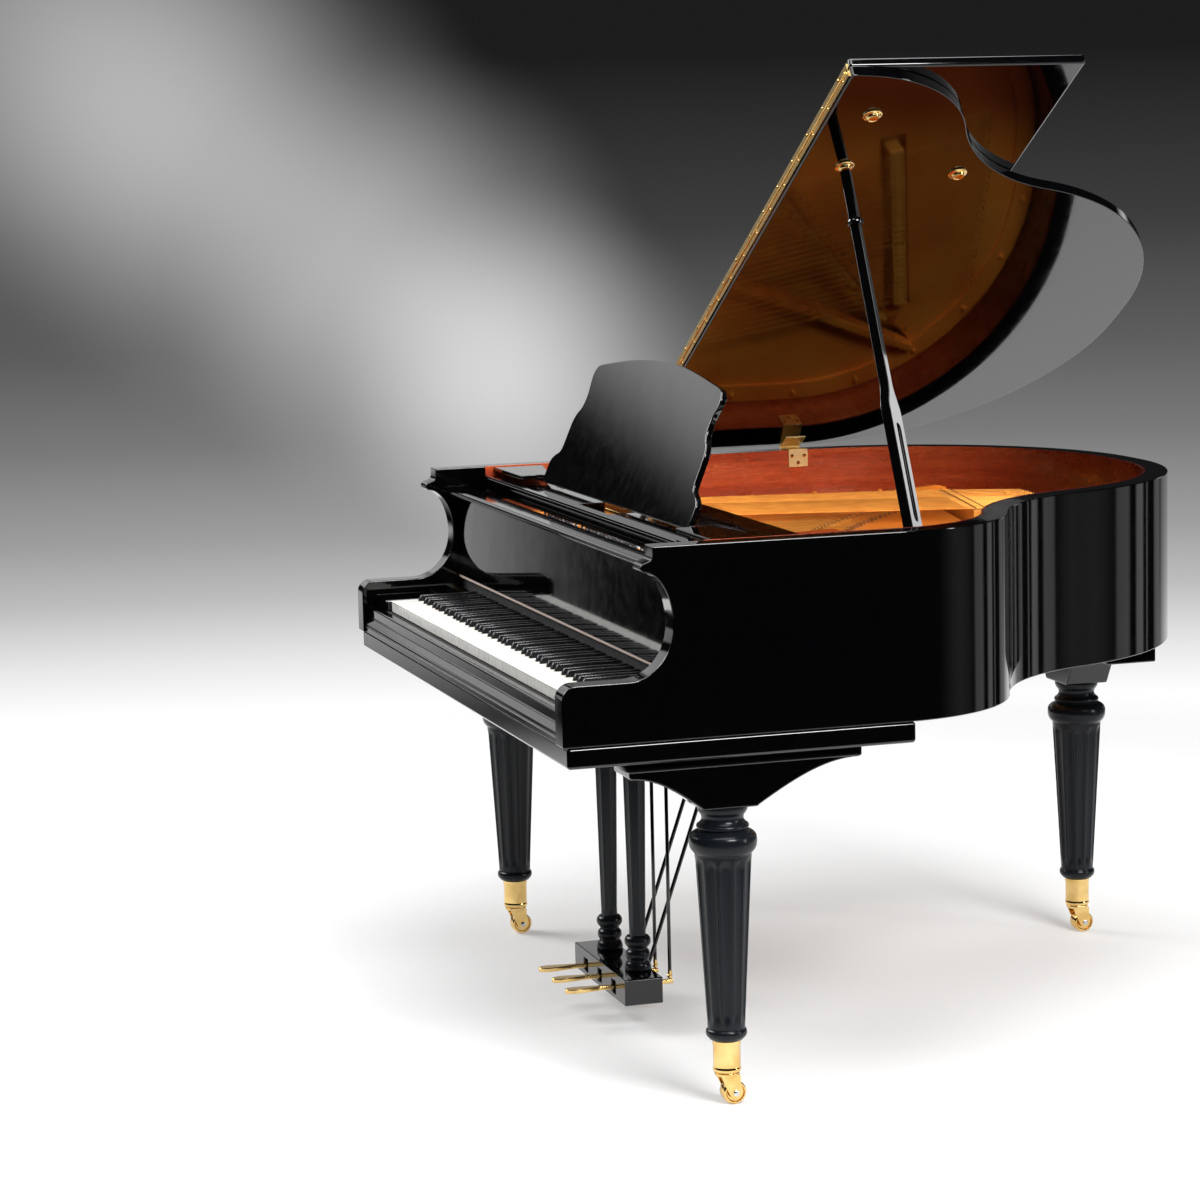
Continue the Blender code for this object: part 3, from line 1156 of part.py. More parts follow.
def make_casters():
    """Brass ferrule, swivelling fork and wheel under each leg."""
    ferrules = []
    places = (("bass", -FRONT_LEG_X, FRONT_LEG_Y), ("treble", FRONT_LEG_X, FRONT_LEG_Y),
              ("tail", *TAIL_LEG))
    hub = WHEEL_RADIUS * cos(pi / WHEEL_STEPS)
    for name, x, y in places:
        cup = [(0.0, 0.1150), (0.0250, 0.1150), (0.0250, 0.107), (0.0240, 0.066),
               (0.0250, 0.062), (0.0240, FORK_TOP + FIT), (0.0, FORK_TOP + FIT)]
        ferrules.append(turned(f"leg_ferrule_{name}", cup, 14, BRASS, (x, y, 0.0)))
        swivel = pivot(f"pivot_caster_{name}", (x, y, FORK_TOP), parent=CASE)
        inner = WHEEL_WIDTH / 2 + 0.0012
        plate = [(0.0, FORK_TOP), (0.0215, FORK_TOP), (0.0225, FORK_TOP - 0.003),
                 (0.0225, FORK_TOP - 0.008), (0.0, FORK_TOP - 0.008)]
        fork = turned(f"caster_fork_{name}", plate, 12, BRASS, (x, y, 0.0))
        cheeks = []
        for side in (-1, 1):
            near, far = sorted((side * inner, side * (inner + FORK_CHEEK)))
            profile = [(y - 0.016, FORK_TOP - 0.004), (y + 0.016, FORK_TOP - 0.004),
                       (y + TRAIL + 0.011, hub + 0.006), (y + TRAIL + 0.009, hub - 0.006),
                       (y + TRAIL, hub - 0.010), (y + TRAIL - 0.009, hub - 0.006),
                       (y - 0.014, hub + 0.012)]
            cheeks.append(moulding(f"fork_{name}_{side + 1}", profile, x + near, x + far, cutter=True))
        joined(fork, *cheeks)
        axle = pivot(f"pivot_wheel_{name}", (0.0, TRAIL, hub - FORK_TOP), parent=swivel)
        half = WHEEL_WIDTH / 2
        rim = [(0.0, inner - FIT), (0.007, inner - FIT), (0.007, half - 0.002), (WHEEL_RADIUS - 0.004, half),
               (WHEEL_RADIUS, half - 0.003), (WHEEL_RADIUS, -half + 0.003),
               (WHEEL_RADIUS - 0.004, -half), (0.007, -half + 0.002), (0.007, -inner + FIT),
               (0.0, -inner + FIT)]
        wheel = turned(f"caster_wheel_{name}", rim, WHEEL_STEPS, BRASS,
                       turn=(pi / 2, pi / WHEEL_STEPS, pi / 2))
        ride(axle, wheel)
        hang(swivel, fork, *cheeks)
    return ferrules


# Lyre and pedals

def make_lyre():
    """Head block, two fluted columns with ring feet, the pedal box and two stay rods."""
    low, high = LYRE_BOX
    head = box("lyre_columns", (-0.150, LYRE_Y - 0.032, 0.598), (0.150, LYRE_Y + 0.032,
               KEYBED_BOTTOM - FIT), EBONY, rounding=0.0)
    for side in (-1, 1):
        place = (side * LYRE_COLUMN_X, LYRE_Y, 0.0)
        shaft = fluted_shaft(f"column_{side + 1}", place, (0.604, 0.0240), (0.150, 0.0155), 8, 0.10)
        feet = [(0.0, 0.166), (0.0190, 0.166), (0.0250, 0.158), (0.0250, 0.148), (0.0188, 0.141),
                (0.0230, 0.134), (0.0230, 0.122), (0.0195, 0.117), (0.0250, high[2] + FIT),
                (0.0, high[2] + FIT)]
        joined(head, shaft, turned(f"column_foot_{side + 1}", feet, 12, place=place, cutter=True))
    case = box("lyre_box", low, high, EBONY)
    for side in (-1, 0, 1):
        x = side * PEDAL_PITCH
        channel = box(f"pedal_slot_{side + 1}", (x - 0.0125, low[1] - 0.02, 0.0565),
                      (x + 0.0125, high[1] + 0.02, 0.0820), cutter=True)
        cut_by(case, channel)
    bevel(case, 0.0020)
    stays = []
    for name, side in (("bass", -1), ("treble", 1)):
        x = side * BRACE_X
        tilt = atan2(BRACE_TOP_Y - BRACE_KNEE[0], KEYBED_BOTTOM - BRACE_KNEE[1])
        end = KEYBED_BOTTOM - FIT - 0.0002 - BRACE_RADIUS * sin(tilt)
        stays.append(rod(f"lyre_brace_{name}", [(x, high[1] + FIT + 0.0002, 0.090), (x, high[1] + 0.008, 0.090),
                                                (x, *BRACE_KNEE), (x, BRACE_TOP_Y, end)],
                         BRACE_RADIUS, EBONY, fineness=2))
    return [head, case, *stays]


def pedal_outline(x):
    """A pedal from above: a straight shank that widens to a rounded toe."""
    tip = PEDAL_TIP_Y
    widths = [(0.3900, 0.0060), (0.2500, 0.0065), (0.2350, 0.0078), (0.2200, 0.0105),
              (0.2050, 0.0125), (0.1930, 0.0125), (0.1840, 0.0105), (0.1785, 0.0070), (tip, 0.0025)]
    left = [(x - half, y) for y, half in widths]
    right = [(x + half, y) for y, half in reversed(widths)]
    return left + right


def make_pedals():
    y, z = PEDAL_PIVOT
    for name, side in (("left", -1), ("middle", 0), ("right", 1)):
        x = side * PEDAL_PITCH
        axis = pivot(f"pivot_pedal_{name}", (x, y, z), parent=CASE)
        pedal = slab(f"pedal_{name}", [pedal_outline(x)], z - PEDAL_THICK / 2,
                     z + PEDAL_THICK / 2, BRASS)
        bevel(pedal, 0.0015)
        pin = turned(f"pedal_pin_{name}", [(0.0, 0.0122), (0.003, 0.0122), (0.003, -0.0122),
                                           (0.0, -0.0122)], 8, place=(x, y, z),
                     turn=(0.0, pi / 2, 0.0), cutter=True)
        joined(pedal, pin)
        link = rod(f"pedal_rod_{name}", [(x, PEDAL_ROD_Y, z + PEDAL_THICK / 2 + 0.0008),
                                         (x, PEDAL_ROD_Y, ROD_TOP)], PEDAL_ROD_RADIUS, EBONY,
                   fineness=1)
        hang(axis, pedal, pin)
        hang(CASE, link)


def assemble():
    fixed = make_rim() + make_keybed() + [make_inner_frame(), make_soundboard()]
    fixed += make_front_woodwork()
    fixed += [make_plate(), make_dampers()] + make_strings()
    fixed += make_case_hinges() + [make_prop_bracket()]
    for name, x, y in (("leg_bass", -FRONT_LEG_X, FRONT_LEG_Y),
                       ("leg_treble", FRONT_LEG_X, FRONT_LEG_Y), ("leg_tail", *TAIL_LEG)):
        fixed.append(make_leg(name, x, y))
    fixed += make_brackets() + make_casters() + make_lyre()
    hang(CASE, *fixed)
    action = pivot("pivot_action", (0.0, BALANCE_Y, RIM_BOTTOM), parent=CASE)
    hang(action, make_action())
    make_keys(action)
    make_fallboard()
    make_lid()
    make_props()
    make_desk()
    make_pedals()
    for tool in CUTTERS.objects:
        if tool.parent is None:
            hang(CASE, tool)
    CASE.location = -ORIGIN


assemble()
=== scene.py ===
"""The open baby grand piano: fine surfaces, strings, pins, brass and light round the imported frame.

Sizes are in metres in the design frame: X towards the treble, Y from the keys to the tail, Z up,
with y = 0 at the front of the keybed. The frame stands a little off it, by OFFSET.
"""

import json
from math import atan2, cos, hypot, pi, radians, sin

import bmesh
import bpy
import numpy as np
from mathutils import Matrix, Vector

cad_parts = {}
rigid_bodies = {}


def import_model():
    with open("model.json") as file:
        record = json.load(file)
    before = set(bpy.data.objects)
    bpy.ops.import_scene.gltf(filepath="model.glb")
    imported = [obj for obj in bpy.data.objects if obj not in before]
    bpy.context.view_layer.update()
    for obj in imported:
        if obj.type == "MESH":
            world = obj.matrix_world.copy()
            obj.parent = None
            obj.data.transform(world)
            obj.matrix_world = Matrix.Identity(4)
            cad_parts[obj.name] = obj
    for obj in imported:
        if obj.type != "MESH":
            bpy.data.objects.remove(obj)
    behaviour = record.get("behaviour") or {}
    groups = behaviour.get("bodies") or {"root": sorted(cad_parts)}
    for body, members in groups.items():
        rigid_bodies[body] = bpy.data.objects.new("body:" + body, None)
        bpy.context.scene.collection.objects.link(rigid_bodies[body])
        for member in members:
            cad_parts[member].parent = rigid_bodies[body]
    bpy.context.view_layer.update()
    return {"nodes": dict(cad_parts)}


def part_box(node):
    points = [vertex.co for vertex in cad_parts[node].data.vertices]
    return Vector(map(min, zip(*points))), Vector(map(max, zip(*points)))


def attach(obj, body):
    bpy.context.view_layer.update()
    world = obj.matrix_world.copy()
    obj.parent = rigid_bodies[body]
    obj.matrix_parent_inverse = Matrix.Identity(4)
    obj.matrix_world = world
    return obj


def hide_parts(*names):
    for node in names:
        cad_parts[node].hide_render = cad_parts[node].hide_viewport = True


for old in list(bpy.data.objects):
    bpy.data.objects.remove(old, do_unlink=True)

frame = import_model()
bed_low, bed_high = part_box("keybed")
OFFSET = np.array([(bed_low.x + bed_high.x) / 2, bed_low.y, 0.0])


# Camera
# It stands on the treble side, a little in front of the keys, with a long lens, as the photographer
# did. Its place, aim and lens were fitted to the straight edges of the case.

CAMERA_AT = Vector((6.0935, -2.3092, 1.688))
YAW, PITCH, ROLL = radians(73.06), radians(-7.97), radians(-1.35)

ahead = Vector((-sin(YAW) * cos(PITCH), cos(YAW) * cos(PITCH), sin(PITCH)))
level = ahead.cross(Vector((0.0, 0.0, 1.0))).normalized()
above = level.cross(ahead)
side_axis = level * cos(ROLL) + above * sin(ROLL)
up_axis = above * cos(ROLL) - level * sin(ROLL)
camera = bpy.data.objects.new("camera", bpy.data.cameras.new("camera"))
camera.data.lens = 101.6
camera.data.sensor_width = 36.0
turn = Matrix((side_axis, up_axis, -ahead)).transposed().to_4x4()
camera.matrix_world = Matrix.Translation(CAMERA_AT) @ turn
bpy.context.scene.collection.objects.link(camera)
bpy.context.scene.camera = camera
bpy.context.scene.view_settings.view_transform = "Standard"


# Floor and light
# A pale floor with no edge to be seen, a grey surround that is white where it meets the floor and
# lit in patches as a canvas backdrop is, and soft rectangular lamps.

class Wire:
    """An output of a node: arithmetic on it adds Math nodes."""

    def __init__(self, nodes, socket):
        self.nodes = nodes
        self.socket = socket

    def math(self, operation, *others):
        values = dict(enumerate((self, *others)))
        return self.nodes.node("Math", {"operation": operation}, values)

    def __add__(self, other):
        return self.math("ADD", other)

    def __radd__(self, other):
        return self.math("ADD", other)

    def __sub__(self, other):
        return self.math("SUBTRACT", other)

    def __rsub__(self, other):
        return self.math("MULTIPLY", -1.0).math("ADD", other)

    def __mul__(self, other):
        return self.math("MULTIPLY", other)

    def __rmul__(self, other):
        return self.math("MULTIPLY", other)

    def __truediv__(self, other):
        return self.math("DIVIDE", other)

    def __rtruediv__(self, other):
        return self.math("POWER", -1.0).math("MULTIPLY", other)

    def __pow__(self, other):
        return self.math("POWER", other)


class Nodes:
    """A node tree that is built by calls."""

    def __init__(self, tree):
        self.tree = tree

    def node(self, kind, settings=None, values=None, output=0):
        """Add a node: its settings first, then the values or links of its sockets."""
        node = self.tree.nodes.new(f"ShaderNode{kind}")
        for key, value in (settings or {}).items():
            if key == "stops":
                ramp = node.color_ramp
                while len(ramp.elements) < len(value):
                    ramp.elements.new(0.5)
                for element, (place, colour) in zip(ramp.elements, value):
                    element.position = place
                    element.color = (*colour, 1.0)
            else:
                setattr(node, key, value)
        for key, value in (values or {}).items():
            self.put(node.inputs[key], value)
        return Wire(self, node.outputs[output])

    def put(self, socket, value):
        if isinstance(value, Wire):
            self.tree.links.new(value.socket, socket)
        else:
            socket.default_value = value

    def place(self, stretch=(1.0, 1.0, 1.0), turned=(0.0, 0.0, 0.0), uv=False):
        """Object coordinates, or the piece's own UV map, stretched and turned for a pattern."""
        source = self.node("TexCoord", None, None, 2 if uv else 3)
        return self.node("Mapping", None, {"Vector": source, "Scale": stretch, "Rotation": turned})

    def noise(self, where, scale, detail=3.0, rough=0.5, distortion=0.0):
        return self.node("TexNoise", None, {"Vector": where, "Scale": scale, "Detail": detail,
                                            "Roughness": rough, "Distortion": distortion})

    def ramp(self, value, *stops):
        return self.node("ValToRGB", {"stops": stops}, {0: value})

    def ease(self, value, first, last, low=0.0, high=1.0):
        """A smooth step from low to high while a value goes from first to last."""
        return self.node("MapRange", {"interpolation_type": "SMOOTHSTEP"},
                         {0: value, 1: first, 2: last, 3: low, 4: high})

    def mix(self, share, first, second):
        return self.node("Mix", {"data_type": "RGBA"}, {0: share, 6: first, 7: second}, 2)

    def seen(self):
        """1 for rays from the camera, and for those that polish and glass send on."""
        ray = self.node("LightPath")
        outputs = ray.socket.node.outputs
        kinds = [Wire(self, outputs[f"Is {kind} Ray"]) for kind in ("Camera", "Glossy", "Transmission")]
        return (kinds[0] + kinds[1] + kinds[2]).math("MINIMUM", 1.0)


class Finish(Nodes):
    """A material made of nodes, with one Principled shader."""

    def __init__(self, name, colour, roughness, metallic=0.0, coat=0.0, coat_roughness=0.03):
        self.material = bpy.data.materials.new(name)
        self.material.use_nodes = True
        super().__init__(self.material.node_tree)
        self.shader = self.tree.nodes["Principled BSDF"]
        for socket, value in (("Base Color", (*colour, 1.0)), ("Roughness", roughness),
                              ("Metallic", metallic), ("Coat Weight", coat),
                              ("Coat Roughness", coat_roughness)):
            self.shader.inputs[socket].default_value = value

    def feed(self, **sockets):
        """Feed sockets of the shader by name, as in feed(Base_Color=wire)."""
        for name, value in sockets.items():
            self.put(self.shader.inputs[name.replace("_", " ")], value)

    def bump(self, height, strength, distance=0.001):
        made = self.node("Bump", None, {"Height": height, "Strength": strength,
                                        "Distance": distance})
        self.feed(Normal=made)


FLOOR_REACH, FLOOR_SOLID, FLOOR_FADE, FLOOR_WHITE = 4.2, 1.9, 3.1, 0.30
floor_finish = Finish("pale_floor", (0.82, 0.82, 0.82), 0.55)
floor_finish.feed(Specular_IOR_Level=0.2)
paper = floor_finish.noise(floor_finish.place(), 1.3, 3.0)
floor_finish.feed(Base_Color=floor_finish.ramp(paper, (0.3, (0.80, 0.80, 0.80)), (0.7, (0.84, 0.84, 0.84))))
lit = floor_finish.node("Emission", None, {"Color": (1.0, 1.0, 1.0, 1.0), "Strength": 1.0})
surface = Wire(floor_finish, floor_finish.shader.outputs[0])
paled = floor_finish.node("MixShader", None, {0: floor_finish.seen() * FLOOR_WHITE, 1: surface, 2: lit})
behind = floor_finish.node("VectorMath", {"operation": "ADD"}, {0: floor_finish.place(), 1: (0.75, 0.0, 0.0)})
away = floor_finish.node("VectorMath", {"operation": "LENGTH"}, {0: behind}, 1)
clear = floor_finish.node("BsdfTransparent")
faded = floor_finish.node("MixShader", None, {0: floor_finish.ease(away, FLOOR_SOLID, FLOOR_FADE),
                                              1: paled, 2: clear})
floor_finish.put(floor_finish.tree.nodes["Material Output"].inputs["Surface"], faded)
round_about = np.linspace(0.0, 2 * pi, 96, endpoint=False)
floor_rim = np.column_stack([FLOOR_REACH * np.cos(round_about), FLOOR_REACH * np.sin(round_about),
                             0 * round_about])
floor_mesh = bpy.data.meshes.new("floor")
floor_mesh.from_pydata(floor_rim.tolist(), [], [list(range(96))])
floor_mesh.materials.append(floor_finish.material)
floor = bpy.data.objects.new("floor", floor_mesh)
bpy.context.scene.collection.objects.link(floor)

AMBIENT, SURROUND = 0.12, 0.006
world = bpy.data.worlds.new("studio")
world.use_nodes = True
studio = Nodes(world.node_tree)
facing = studio.node("TexCoord")


def along(axis):
    """How far a view direction points along an axis."""
    return studio.node("VectorMath", {"operation": "DOT_PRODUCT"}, {0: facing, 1: axis}, 1)


def patch(azimuth, height, size, strength):
    """A soft round light patch of the surround, about a direction."""
    turn = radians(azimuth)
    middle = Vector((cos(turn), sin(turn), height)).normalized()
    off = studio.node("VectorMath", {"operation": "DISTANCE"}, {0: facing, 1: middle}, 1)
    return studio.ease(off, 0.0, size, strength, 0.0)


def streak(azimuth, half, strength):
    """An upright strip of light: bright where a direction lies near the strip's own plane."""
    turn = radians(azimuth)
    off = along((-sin(turn), cos(turn), 0.0)).math("ABSOLUTE")
    edge = sin(radians(half))
    facing_it = studio.ease(along((cos(turn), sin(turn), 0.0)), 0.3, 0.5)
    return studio.ease(off, edge * 0.6, edge * 1.2, strength, 0.0) * facing_it


rise = along((0.0, 0.0, 1.0))
grey = studio.ramp(rise * 2.0 + 0.5, (0.165, (1.0,) * 3), (0.193, (0.80,) * 3), (0.229, (0.50,) * 3),
                   (0.264, (0.33,) * 3), (0.318, (0.18,) * 3), (0.370, (0.10,) * 3),
                   (0.440, (0.035,) * 3), (0.540, (0.0,) * 3))
canvas = (patch(171.6, 0.024, 0.090, 0.36) + patch(168.8, -0.012, 0.080, 0.26)
          + patch(166.2, -0.046, 0.075, 0.30) + patch(164.3, -0.074, 0.062, 0.40))
northward = along((0.0, 1.0, 0.0))
westward = studio.ease(along((-1.0, 0.0, 0.0)), 0.45, 0.75)
backdrop = studio.ease(northward, 0.0, 0.08) * westward
soft_wall = (studio.ease(northward, -0.300, -0.235) * studio.ease(northward, -0.10, 0.0, 0.80, 0.0)
             * studio.ease(rise, -0.185, -0.130) * studio.ease(rise, -0.09, -0.01, 1.0, 0.0)
             * westward)
ceiling = (studio.ease(rise, 0.140, 0.178) * studio.ease(rise, 0.35, 0.60, 0.85, 0.0)
           * studio.ease(along((-0.956, -0.292, 0.0)), 0.75, 0.92))
overhead = (studio.ease(rise, 0.055, 0.10) * studio.ease(rise, 0.22, 0.32, 0.60, 0.0)
            * studio.ease(northward, 0.30, 0.36, 1.0, 0.0))
window = patch(125.2, 0.10, 0.13, 2.2)
low_glow = (studio.ease(rise, -0.12, -0.085) * studio.ease(rise, 0.03, 0.07, 0.5, 0.0)
            * studio.ease(northward, -0.40, -0.34) * studio.ease(northward, -0.315, -0.300, 1.0, 0.0))
strips = ((streak(87.0, 5.5, 0.45) + streak(101.0, 3.5, 0.50) + streak(108.3, 0.9, 0.30)
           + streak(120.5, 4.0, 0.24) + streak(133.0, 4.0, 0.30) + patch(66.0, -0.14, 0.34, 0.16))
          * studio.ease(rise, -0.36, -0.22) * studio.ease(rise, 0.0, 0.06, 1.0, 0.0))
pale_floor = studio.ease(rise, -0.36, -0.20, 0.7, 0.0)
around_it = pale_floor + soft_wall + ceiling + low_glow + strips + SURROUND
shown = (backdrop * (grey + canvas + overhead + 0.012) + (backdrop * -1.0 + 1.0) * around_it + window)
shade = studio.node("Mix", {"data_type": "FLOAT"}, {0: studio.seen(), 2: AMBIENT, 3: shown})
studio.put(world.node_tree.nodes["Background"].inputs["Color"], shade)
bpy.context.scene.world = world


def lamp(name, place, aim, width, height, power):
    """A soft rectangular lamp that faces a point."""
    data = bpy.data.lights.new(name, "AREA")
    data.shape = "RECTANGLE"
    data.size, data.size_y = width, height
    data.energy = power
    made = bpy.data.objects.new(name, data)
    made.location = place
    made.rotation_mode = "QUATERNION"
    made.rotation_quaternion = (Vector(aim) - Vector(place)).to_track_quat("-Z", "Y")
    bpy.context.scene.collection.objects.link(made)
    return made


lamp("key_lamp", (-3.0, -3.6, 3.6), (0.0, 0.0, 0.7), 3.0, 2.4, 260.0)
lamp("top_lamp", (0.9, -0.4, 5.0), (0.0, 0.0, 0.0), 3.8, 3.8, 280.0)
lamp("inside_lamp", (4.7, 0.9, 4.3), (-0.2, 0.5, 0.9), 2.2, 1.6, 380.0)
lamp("rear_strip", (3.4, 4.6, 1.9), (0.2, 0.3, 0.8), 0.35, 2.6, 60.0)




# Lacquer
# Black polyester on every outside face of the case: sprayed thick, sanded and buffed to a mirror,
# with the faintest ripple and a little dust haze in its shine.

EBONY = Finish("polished_ebony", (0.001, 0.001, 0.0012), 0.10, coat=0.35, coat_roughness=0.02)
EBONY.feed(Specular_IOR_Level=0.42)
ripple = EBONY.noise(EBONY.place(), 9.0, 1.0)
haze = EBONY.noise(EBONY.place(), 38.0, 4.0, 0.6)
EBONY.feed(Roughness=EBONY.node("MapRange", None, {0: haze, 1: 0.35, 2: 0.75, 3: 0.045, 4: 0.095}))
EBONY.feed(Base_Color=EBONY.mix(haze, (0.0004, 0.0004, 0.0006, 1.0), (0.0012, 0.0012, 0.0015, 1.0)))
EBONY.bump(ripple, 0.035, 0.004)


# Outer rim
# Many thin maple laminations bent round a form and glued, then lacquered. The two arms run on
# past the keys and are sawn to a hollow and a scroll.

CASE_WIDTH = 1.500
RIM_WALL = 0.045
RIM_TOP, RIM_BOTTOM = 0.991, 0.6603
SIDE_STRAIGHT = 0.608
BENDS = ((0.296, radians(67.6), 1), (0.412, radians(49.8), -1), (0.521, radians(72.2), 1))
TAIL_RUN, TAIL_RADIUS = 0.056, 0.530
BEND_STEP = radians(1.8)
ARM_FRONT, ARM_TOP, ARM_NOSE = -0.008, 0.765, 0.026
ARM_FLAT_END, ARM_HOLLOW, ARM_HOLLOW_Z = 0.110, 0.190, 0.855
ARM_SCROLL, ARM_SCROLL_Z, ARM_TOP_Y = 0.138, 0.948, 0.156


def case_path(step=BEND_STEP):
    """Points and headings round the outside of the rim, from the end of the treble side to the
    start of the bass side: arcs whose point is the centre plus a turned spoke, joined by a run."""
    place = np.array([CASE_WIDTH / 2, SIDE_STRAIGHT])
    heading = pi / 2
    points, headings = [place[None]], [[heading]]
    for bend in (*BENDS, None, (TAIL_RADIUS, pi / 2, 1)):
        if bend is None:
            place = place - (TAIL_RUN, 0.0)
            points.append(place[None])
            headings.append([heading])
            continue
        radius, angle, side = bend
        count = round(angle / step)
        turns = side * angle * np.arange(1, count + 1) / count
        centre = place + radius * side * np.array([-sin(heading), cos(heading)])
        spoke = place - centre
        arc = centre + np.stack([spoke[0] * np.cos(turns) - spoke[1] * np.sin(turns),
                                 spoke[0] * np.sin(turns) + spoke[1] * np.cos(turns)], 1)
        points.append(arc)
        headings.append(heading + turns)
        place, heading = arc[-1], heading + side * angle
    return np.concatenate(points), np.concatenate(headings)


PATH, HEADING = case_path()
INWARD = np.stack([-np.sin(HEADING), np.cos(HEADING)], 1)


def case_line(inset, start):
    """The case outline moved inwards, with straight sides that begin at y = start."""
    line = PATH + inset * INWARD
    first = np.array([[CASE_WIDTH / 2 - inset, start]])
    last = np.array([[-CASE_WIDTH / 2 + inset, start]])
    return np.concatenate([first, line, last])


def piece(name, points, faces, body, finish, stands_for=(), at=None, sharp=radians(38.0), uv=None):
    """A mesh from points and faces, put in place, that rides on a body of the frame."""
    points = np.asarray(points, float).reshape(-1, 3)
    if at is not None:
        points = points @ at[:3, :3].T + at[:3, 3]
    mesh = bpy.data.meshes.new(name)
    mesh.from_pydata((points + OFFSET).tolist(), [], [list(map(int, face)) for face in faces])
    if uv is not None:
        layer = mesh.uv_layers.new(name="UVMap")
        corners = np.empty(len(mesh.loops), int)
        mesh.loops.foreach_get("vertex_index", corners)
        layer.data.foreach_set("uv", np.asarray(uv, float)[corners].ravel())
    shape = bmesh.new()
    shape.from_mesh(mesh)
    bmesh.ops.recalc_face_normals(shape, faces=shape.faces)
    shape.to_mesh(mesh)
    shape.free()
    mesh.shade_smooth()
    mesh.set_sharp_from_angle(angle=sharp)
    mesh.materials.append(finish.material)
    made = bpy.data.objects.new(name, mesh)
    bpy.context.scene.collection.objects.link(made)
    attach(made, body)
    if stands_for:
        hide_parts(*stands_for)
    return made


def soften(made, width, segments=3, angle=radians(32.0)):
    """Round a piece's sharp edges, and weight its normals so that flat faces stay flat."""
    rounding = made.modifiers.new("rounded edges", "BEVEL")
    rounding.width = width
    rounding.segments = segments
    rounding.limit_method = "ANGLE"
    rounding.angle_limit = angle
    rounding.harden_normals = False
    weights = made.modifiers.new("flat faces stay flat", "WEIGHTED_NORMAL")
    weights.keep_sharp = False
    weights.weight = 80
    made.data.shade_smooth()
    return made


def strip(first, second, closed=False):
    """Quads between two equal rows of vertex numbers."""
    first, second = np.asarray(first), np.asarray(second)
    if closed:
        first, second = np.append(first, first[0]), np.append(second, second[0])
    return np.stack([first[:-1], first[1:], second[1:], second[:-1]], 1).tolist()


def arm_profile():
    """The cheek from the side as (y, z): a quarter round nose, the flat arm, a hollow that is a
    quarter ellipse, a scroll that is another, and a small crown."""
    quarter = np.linspace(0.0, pi / 2, 14)
    nose = np.stack([ARM_FRONT + ARM_NOSE * (1 - np.cos(quarter)),
                     ARM_TOP - ARM_NOSE * (1 - np.sin(quarter))], 1)
    rise = np.stack([ARM_FLAT_END + (ARM_HOLLOW - ARM_FLAT_END) * np.sin(quarter),
                     ARM_HOLLOW_Z - (ARM_HOLLOW_Z - ARM_TOP) * np.cos(quarter)], 1)
    scroll = np.stack([ARM_SCROLL + (ARM_HOLLOW - ARM_SCROLL) * np.cos(quarter[1:]),
                       ARM_HOLLOW_Z + (ARM_SCROLL_Z - ARM_HOLLOW_Z) * np.sin(quarter[1:])], 1)
    crown = [(ARM_SCROLL - 0.004, ARM_SCROLL_Z + 0.004), (ARM_SCROLL - 0.004, ARM_SCROLL_Z + 0.009),
             (ARM_SCROLL - 0.001, ARM_SCROLL_Z + 0.014), (ARM_TOP_Y - 0.003, ARM_SCROLL_Z + 0.020),
             (ARM_TOP_Y, ARM_SCROLL_Z + 0.026), (ARM_TOP_Y, RIM_TOP)]
    return np.concatenate([[(ARM_FRONT, RIM_BOTTOM)], nose, rise, scroll, crown])


def rim():
    """A ribbon: for each step of the top line an outer and an inner point, the same below, two
    flat cheeks, and strips across the top and the bottom."""
    arm = arm_profile()
    inner = PATH + RIM_WALL * INWARD
    top_z = np.full(len(PATH), RIM_TOP)
    rows = []
    for half, line in ((CASE_WIDTH / 2, PATH), (CASE_WIDTH / 2 - RIM_WALL, inner)):
        side = np.column_stack([np.full(len(arm), half), arm])
        far = side[::-1] * (-1.0, 1.0, 1.0)
        top = np.concatenate([side, np.column_stack([line, top_z]), far])
        low = np.column_stack([line, np.full(len(PATH), RIM_BOTTOM)])
        rows.append((top, low))
    count, below, arms = len(rows[0][0]), len(PATH), len(arm)
    points = np.concatenate([rows[0][0], rows[0][1], rows[1][0], rows[1][1]])
    faces = []
    for start in (0, count + below):
        top = np.arange(count) + start
        low = np.arange(below) + start + count
        faces.append([*top[:arms + 1], low[0]])
        faces.append([low[-1], *top[-arms - 1:]])
        faces += strip(top[arms:arms + below], low)
    outer, within = np.arange(count), np.arange(count) + count + below
    faces += strip(outer, within)
    ends = [0, *(np.arange(below) + count), count - 1]
    inner_ends = np.array([0, *(np.arange(below) + count), count - 1]) + count + below
    faces += strip(ends, inner_ends)
    return points, faces


outer_rim = piece("rim", *rim(), "case", EBONY, ["outer_rim"])
soften(outer_rim, 0.0022)


# Rim lining
# A wide band of red mahogany veneer inside the rim, from the soundboard up and over the edge
# of the rim's top. Its grain runs along the case, with darker streaks. Towards the tail it is
# darkened by painted shade, for the shade on that part of the wall.

LINING, FIT = 0.003, 0.0003
LINING_START, LINING_LOW, LINING_TOP, LINING_LAP = 0.262, 0.8633, RIM_TOP + 0.0004, 0.0045

